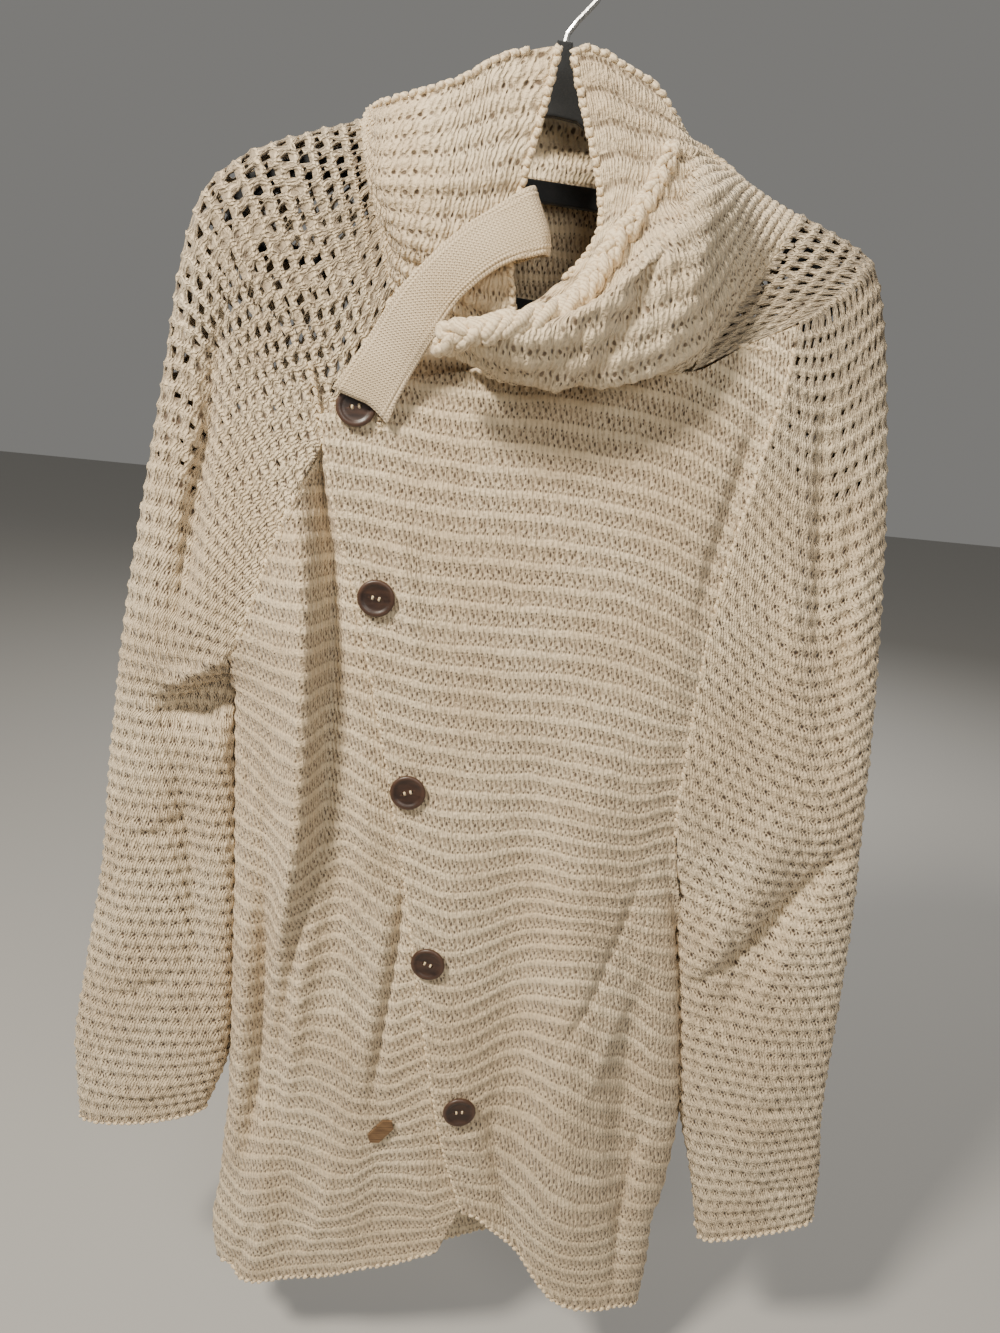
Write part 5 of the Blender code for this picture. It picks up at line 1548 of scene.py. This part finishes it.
def plain_yarn(name, tint=(1.0, 1.0, 1.0)):
    """Loose cream yarn, with its twist and its hair but no stitches of its own."""
    recipe = Recipe(name)
    bend = recipe.node("ShaderNodeTexNoise", recipe.spot, None, 160.0, 2.0).outputs[1]
    warped = recipe.vector("MULTIPLY", bend, (0.005, 0.005, 0.005))
    warped = recipe.vector("ADD", recipe.spot, warped)
    twist = recipe.node("ShaderNodeTexWave", warped, 150.0, 4.0, 2.0, wave_type="BANDS",
                        bands_direction="DIAGONAL").outputs[1]
    fibre = recipe.noise(recipe.spot, 800.0, 3.0, 0.7)
    # The grooves of the twist are painted darker, as shade, and the fibre varies the tone at
    # random.
    tone = recipe.math("MULTIPLY_ADD", twist, 0.35, recipe.math("MULTIPLY", fibre, 0.8))
    deep, pale = (tuple(c * t for c, t in zip(yarn, tint)) for yarn in (YARN_DEEP, YARN_PALE))
    colour = recipe.mix(recipe.ease(tone, 0.2, 0.75), deep, pale)
    return recipe.finish(colour, recipe.ease(fibre, 0.2, 0.8, 0.82, 0.96), tone, 0.0006, 0.8,
                         sheen=0.25, specular=0.25)


rim_yarn = plain_yarn("rim_yarn")
for piece in (cowl_rim, *edges.values()):
    dress(piece, rim_yarn)
print("edges in plain yarn", 1 + len(edges))

# %% [markdown]
# ## The neck strap
# The strap is a double band of fine jersey that passes round the right collar's edge and
# buttons at the shoulder. Its ribs run along it and its edges roll into two thicker ribs. It
# is a grid draped along the strap's own sections, fine enough to carry every rib.

# %% Strap
STRAP_RIB = 2.3                     # from one fine rib to the next
STRAP_STITCH = (1.9, 2.1)           # width and length of a stitch of the jersey
STRAP_COLUMNS, STRAP_ROWS = 71, 90
STRAP_MIDDLE = STRAP_COLUMNS // 2
STRAP_SHELL = 1.8                   # thickness of the band
TURN_AT = 3.0                       # the section where the strap turns round the collar
SELVEDGE_RIBS = ((0.55, 0.462, 0.022), (0.40, 0.385, 0.020))    # height, place, half width


def strap_grid(columns, rows):
    """Grid of the strap: rows run along it, columns across it, with the across distance."""
    at = np.linspace(0, len(STRAP) - 1, rows)
    here = StrapSection(*(section(STRAP, name, at)[:, None] for name in StrapSection._fields))
    share = np.linspace(-0.5, 0.5, columns)
    reach = share * here.width
    x = here.x + reach * here.across_x
    z = here.z + reach * here.across_z
    at = at[:, None]
    # It is plumper in the middle, curls back at its edges and waves a little.
    crown = 1.1 * (1 - (2 * share) ** 2)
    curl = 2.6 * np.clip(np.abs(share) * 2 - 0.72, 0, 1)
    wave = 0.9 * np.sin(at * 2.3) * np.sin(math.pi * (share + 0.1))
    # The lower corner of its turn is drawn in, towards the right shoulder, and down.
    turned = np.exp(-((at - TURN_AT) / 1.3) ** 2)
    corner = 5.0 * turned * np.clip(2 * share, 0, 1) ** 3
    x = x - 0.89 * corner
    z = z - 0.45 * corner
    # One corner of its end hangs lower, beside the button.
    hanging = 7.0 * np.clip(at - (len(STRAP) - 2), 0, 1) ** 2
    hanging = hanging * np.clip(2.4 * share - 0.2, 0, 1) ** 1.5
    x = x - 0.22 * hanging
    z = z - 0.95 * hanging
    return np.stack([x, here.y - crown + curl + wave, z], axis=-1), reach, share


points, reach, share = strap_grid(STRAP_COLUMNS, STRAP_ROWS)
run = run_of(points[:, STRAP_MIDDLE])
height = 0.16 * np.cos(2 * math.pi * reach / STRAP_RIB) * np.clip(share * 4 - 0.6, 0.12, 1)
for rise, place, half in SELVEDGE_RIBS:
    height = height + rise * np.exp(-((np.abs(share) - place) / half) ** 2)
points = points - grid_normals(points) * height[..., None]
u = reach / STRAP_STITCH[0]
v = np.broadcast_to(run[:, None] / STRAP_STITCH[1], reach.shape)
uncut = np.zeros((STRAP_ROWS - 1, STRAP_COLUMNS - 1), bool)
neck_strap = drape_grid("strap_jersey", points, u, v, uncut, STRAP_SHELL, turned_over=True)
print("strap length", round(float(run[-1])), "mm")

# %% Jersey
def jersey_material():
    """Fine cream jersey: narrow stitches in columns, painted a little darker between the ribs, as
    shade.
    """
    recipe = Recipe("strap_jersey")
    cells = recipe.node("ShaderNodeUVMap", uv_map="stitches").outputs[0]
    cells = recipe.drifted(cells, 120.0, 2.0, (0.5, 0.5, 0))
    parts = recipe.node("ShaderNodeSeparateXYZ", cells)
    a = recipe.apart(recipe.math("FRACT", parts.outputs[0]), 0.5)
    slanted = recipe.math("MULTIPLY_ADD", a, 1.1, parts.outputs[1])
    wave = recipe.math("COSINE", recipe.math("MULTIPLY", slanted, 2 * math.pi))
    column_gap = recipe.ease(a, 0.30, 0.5, 0.0, 1.0)
    fibre = recipe.noise(recipe.spot, 900.0, 3.0, 0.7)
    # The tone is painted shade: darker in the dips of each stitch and between the columns.
    tone = recipe.math("MULTIPLY_ADD", wave, 0.24, 0.62)
    tone = recipe.math("MULTIPLY_ADD", column_gap, -0.22, tone)
    tone = recipe.stir(tone, fibre, 0.4)
    patch = recipe.ease(recipe.noise(recipe.spot, 18.0, 2.0), 0.35, 0.65)
    yarn = recipe.mix(patch, (0.76, 0.605, 0.395), (0.85, 0.69, 0.47))
    colour = recipe.mix(recipe.ease(tone, 0.2, 0.8), (0.44, 0.335, 0.22), yarn)
    return recipe.finish(colour, recipe.ease(fibre, 0.2, 0.8, 0.78, 0.92), tone, 0.0008, 0.9,
                         sheen=0.3, specular=0.25)


dress(neck_strap, jersey_material(), "neck_strap")
print("jersey", neck_strap.data.materials[0].name)

# %% [markdown]
# ## Buttons
# Five turned buttons of dark brown horn. One is turned by spinning its profile, drilled twice
# and copied. Two short bars of thread hold each one.

# %% Turn one button
# The button's profile, as (reach, level) from the middle of its back round to its face.
PROFILE = ((0, 0.2), (9.6, 0.2), (11.4, 0.6), (12.2, 1.3), (12.5, 2.1), (12.35, 2.9), (11.9, 3.5),
           (11.2, 3.85), (10.2, 3.8), (9.3, 3.45), (8.6, 3.0), (7.8, 2.75), (6.2, 2.7), (4.4, 2.62),
           (2.0, 2.6), (0, 2.6))
HOLE = 1.35             # radius of a hole
HOLE_ASIDE = 2.7        # from the button's middle to a hole's

bpy.ops.mesh.primitive_circle_add(vertices=len(PROFILE), radius=1)
blank = bpy.context.object
blank.name = "button_blank"
bpy.ops.object.mode_set(mode="EDIT")
bpy.ops.mesh.select_all(action="SELECT")
bpy.ops.mesh.delete(type="EDGE_FACE")
bpy.ops.object.mode_set(mode="OBJECT")
for vertex, (reach, level) in zip(blank.data.vertices, PROFILE):
    vertex.co = (reach * MM, 0, level * MM)
blank.data.edges.add(len(PROFILE) - 1)
blank.data.edges.foreach_set("vertices", [k for i in range(len(PROFILE) - 1) for k in (i, i + 1)])
blank.data.update()
select_only(blank)
bpy.context.tool_settings.mesh_select_mode = (True, False, False)
bpy.ops.object.mode_set(mode="EDIT")
bpy.ops.mesh.select_all(action="SELECT")
bpy.ops.mesh.spin(steps=56, angle=2 * math.pi, center=(0, 0, 0), axis=(0, 0, 1))
bpy.ops.mesh.select_all(action="SELECT")
bpy.ops.mesh.remove_doubles(threshold=0.00002)
bpy.ops.mesh.normals_make_consistent(inside=False)
bpy.ops.object.mode_set(mode="OBJECT")
for side in (-1, 1):
    bpy.ops.mesh.primitive_cylinder_add(vertices=20, radius=HOLE * MM, depth=0.02,
                                        location=(side * HOLE_ASIDE * MM, 0, 0))
    drill = bpy.context.object
    select_only(blank)
    bore = blank.modifiers.new("Bore", "BOOLEAN")
    bore.operation = "DIFFERENCE"
    bore.solver = "EXACT"
    bore.object = drill
    bpy.ops.object.modifier_apply(modifier=bore.name)
    bpy.data.objects.remove(drill)
select_only(blank)
bpy.ops.object.shade_smooth_by_angle(angle=math.radians(40))
print("button triangles", triangles(blank.data))

# %% Thread and horn
thread_yarn = plain_yarn("button_thread", (0.95, 0.93, 0.88))
horn = Recipe("dark_horn")
streak = horn.noise(horn.vector("MULTIPLY", horn.spot, (60.0, 60.0, 260.0)), 1.0, 4.0, 0.65)
speck = horn.noise(horn.spot, 900.0, 2.0)
colour = horn.mix(horn.ease(streak, 0.3, 0.72), (0.016, 0.0068, 0.0043), (0.048, 0.0215, 0.0125))
# The crest of the rim is painted lighter, as a highlight.
rim_highlight = horn.ease(horn.node("ShaderNodeNewGeometry").outputs["Pointiness"], 0.50, 0.56)
colour = horn.mix(horn.math("MULTIPLY", rim_highlight, 0.45), colour, (0.118, 0.058, 0.034))
horn.finish(colour, horn.ease(speck, 0.2, 0.8, 0.36, 0.52), streak, 0.0002, 0.4,
            coat=0.2, coat_roughness=0.3)


def bar_of_thread(side):
    """One short loop of thread over a hole, sunk at both ends."""
    bpy.ops.mesh.primitive_cylinder_add(vertices=10, radius=0.8 * MM, depth=3.4 * MM,
                                        location=(side * 2.2 * MM, 0, 2.6 * MM),
                                        rotation=(math.pi / 2, 0, 0))
    bar = bpy.context.object
    bar.data.transform(bar.matrix_basis)
    bar.matrix_basis = Matrix()
    select_only(bar)
    bpy.ops.object.mode_set(mode="EDIT")
    bpy.ops.mesh.select_all(action="SELECT")
    bpy.ops.mesh.subdivide(number_cuts=4)
    bpy.ops.object.mode_set(mode="OBJECT")
    for vertex in bar.data.vertices:
        ends = abs(vertex.co.y) / (1.7 * MM)
        vertex.co.z += (0.45 - 1.5 * ends ** 2) * MM
    bar.data.shade_smooth()
    return bar


print("horn and thread ready:", horn.material.name, thread_yarn.name)

# %% Sew the buttons on
# Each button: x, level, height over the cloth, and the turn of its holes in degrees.
BUTTONS = ((-108, -276, 0.9, 12), (-88, -396, 0.5, -8), (-58, -531, 0.5, 20),
           (-34, -661, 0.5, -15), (-2, -786, 0.5, 5))
SLOPE_OVER = 4.0        # the cloth's slope is measured over this distance


def lay_on(mesh, x, z, height, turn):
    """Move a mesh built on the XY plane, facing +Z, onto the over front's outer face."""
    y, aside, above = over_front(np.array([x, x + SLOPE_OVER, x]), np.array([z, z, z + SLOPE_OVER]))
    outward = Vector((aside - y, -SLOPE_OVER, above - y)).normalized()
    side = Vector((0, 0, 1)).cross(outward).normalized()
    turned = Matrix((side, outward.cross(side), outward)).transposed().to_4x4()
    place = Vector((x, y, z)) + outward * (height + CLOTH / 2)
    spin = Matrix.Rotation(math.radians(turn), 4, "Z")
    mesh.transform(Matrix.Translation(place * MM) @ turned @ spin)


for number, place in enumerate(BUTTONS, start=1):
    button = bpy.data.objects.new(f"horn_button_{number}", blank.data.copy())
    button.data.name = button.name
    bpy.context.scene.collection.objects.link(button)
    lay_on(button.data, *place)
    dress(button, horn.material, f"button_{number}")
    bars = [bar_of_thread(side) for side in (-1, 1)]
    select_only(bars[0])
    bars[1].select_set(True)
    bpy.ops.object.join()
    thread = bpy.context.object
    thread.name = thread.data.name = f"button_thread_{number}"
    lay_on(thread.data, *place)
    dress(thread, thread_yarn)
bpy.data.objects.remove(blank)
print("buttons", len(BUTTONS))

# %% [markdown]

# %% Sheets
print("no sheet sizes are given here")

# %% [markdown]
# ## Tag, hanger and hook
# These three keep the shapes of the fixed frame and get finishes of their own: sanded wood
# with its grain along the tag, black flock that drinks the light, and a bright drawn wire.

# %% Wood, flock and wire
wood = Recipe("tag_wood")
laid = wood.node("ShaderNodeMapping", wood.spot, None, (0, math.radians(50), 0),
                 (90.0, 90.0, 1100.0)).outputs[0]
grain = wood.noise(laid, 1.0, 4.0, 0.6)
colour = wood.mix(wood.ease(grain, 0.3, 0.7), (0.085, 0.043, 0.018), (0.24, 0.14, 0.065))
wood.finish(colour, wood.ease(grain, 0.2, 0.8, 0.5, 0.7), grain, 0.0003, 0.5)

flock = Recipe("black_flock")
pile = flock.noise(flock.spot, 1400.0, 2.0, 0.7)
rub = flock.ease(flock.noise(flock.spot, 30.0, 3.0), 0.35, 0.7)
colour = flock.mix(rub, (0.008, 0.009, 0.010), (0.022, 0.024, 0.027))
flock.finish(colour, flock.ease(pile, 0.2, 0.8, 0.85, 1.0), pile, 0.0004, 0.7,
             sheen=0.35, sheen_roughness=0.4)

wire = Recipe("drawn_wire")
scratch = wire.noise(wire.vector("MULTIPLY", wire.spot, (900.0, 900.0, 120.0)), 1.0, 3.0)
colour = wire.mix(scratch, (0.55, 0.55, 0.54), (0.78, 0.78, 0.77))
wire.finish(colour, wire.ease(scratch, 0.2, 0.8, 0.16, 0.34), scratch, 0.0001, 0.3, metallic=1.0)

for node, finish in (("hem_tag", wood), ("hanger_body", flock), ("hanger_hook", wire)):
    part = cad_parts[node]
    if not part.material_slots:
        part.data.materials.append(finish.material)
    for slot in part.material_slots:
        slot.material = finish.material
print("finishes on the frame's own parts: wood, flock, wire")

# %% [markdown]
# ## Floor and light
# The cardigan hangs in a plain studio: a pale floor below it, an even warm sky and three
# round lamps. The key lamp is small and stands high to one side, so that every stitch throws
# a shadow of its own. The two fills are broad and weak, and only open the shadows.

# %% Floor and light
FLOOR_LEVEL = -1.07
bpy.ops.mesh.primitive_plane_add(size=12, location=(0, 0, FLOOR_LEVEL))
floor = bpy.context.object
floor.name = "floor"
pale = bpy.data.materials.new("pale_floor")
pale.use_nodes = True
surface = pale.node_tree.nodes["Principled BSDF"].inputs
surface["Base Color"].default_value = (0.42, 0.41, 0.39, 1)
surface["Roughness"].default_value = 0.8
floor.data.materials.append(pale)

world = bpy.data.worlds.new("studio")
bpy.context.scene.world = world
world.use_nodes = True
sky = world.node_tree.nodes["Background"].inputs
sky["Color"].default_value = (0.75, 0.735, 0.70, 1)
sky["Strength"].default_value = 0.27


def area_light(name, place, aim, size, power, colour):
    """A round lamp at a place, turned towards the point it is aimed at."""
    light = bpy.data.lights.new(name, "AREA")
    light.shape = "DISK"
    light.size = size
    light.energy = power
    light.color = colour
    lamp = bpy.data.objects.new(name, light)
    bpy.context.scene.collection.objects.link(lamp)
    lamp.location = place
    lamp.rotation_euler = (Vector(aim) - Vector(place)).to_track_quat("-Z", "Y").to_euler()


area_light("key", (-0.85, -0.95, 0.80), (0.02, 0, -0.22), 0.32, 55, (1.0, 0.92, 0.79))
area_light("fill", (0.55, -1.7, 0.35), (0, 0, -0.25), 0.9, 13, (1.0, 0.95, 0.87))
area_light("back_fill", (0.5, 1.9, 0.8), (0, 0, -0.5), 1.5, 30, (1.0, 0.98, 0.95))
print("lights", [lamp.name for lamp in bpy.data.lights])

# %% [markdown]
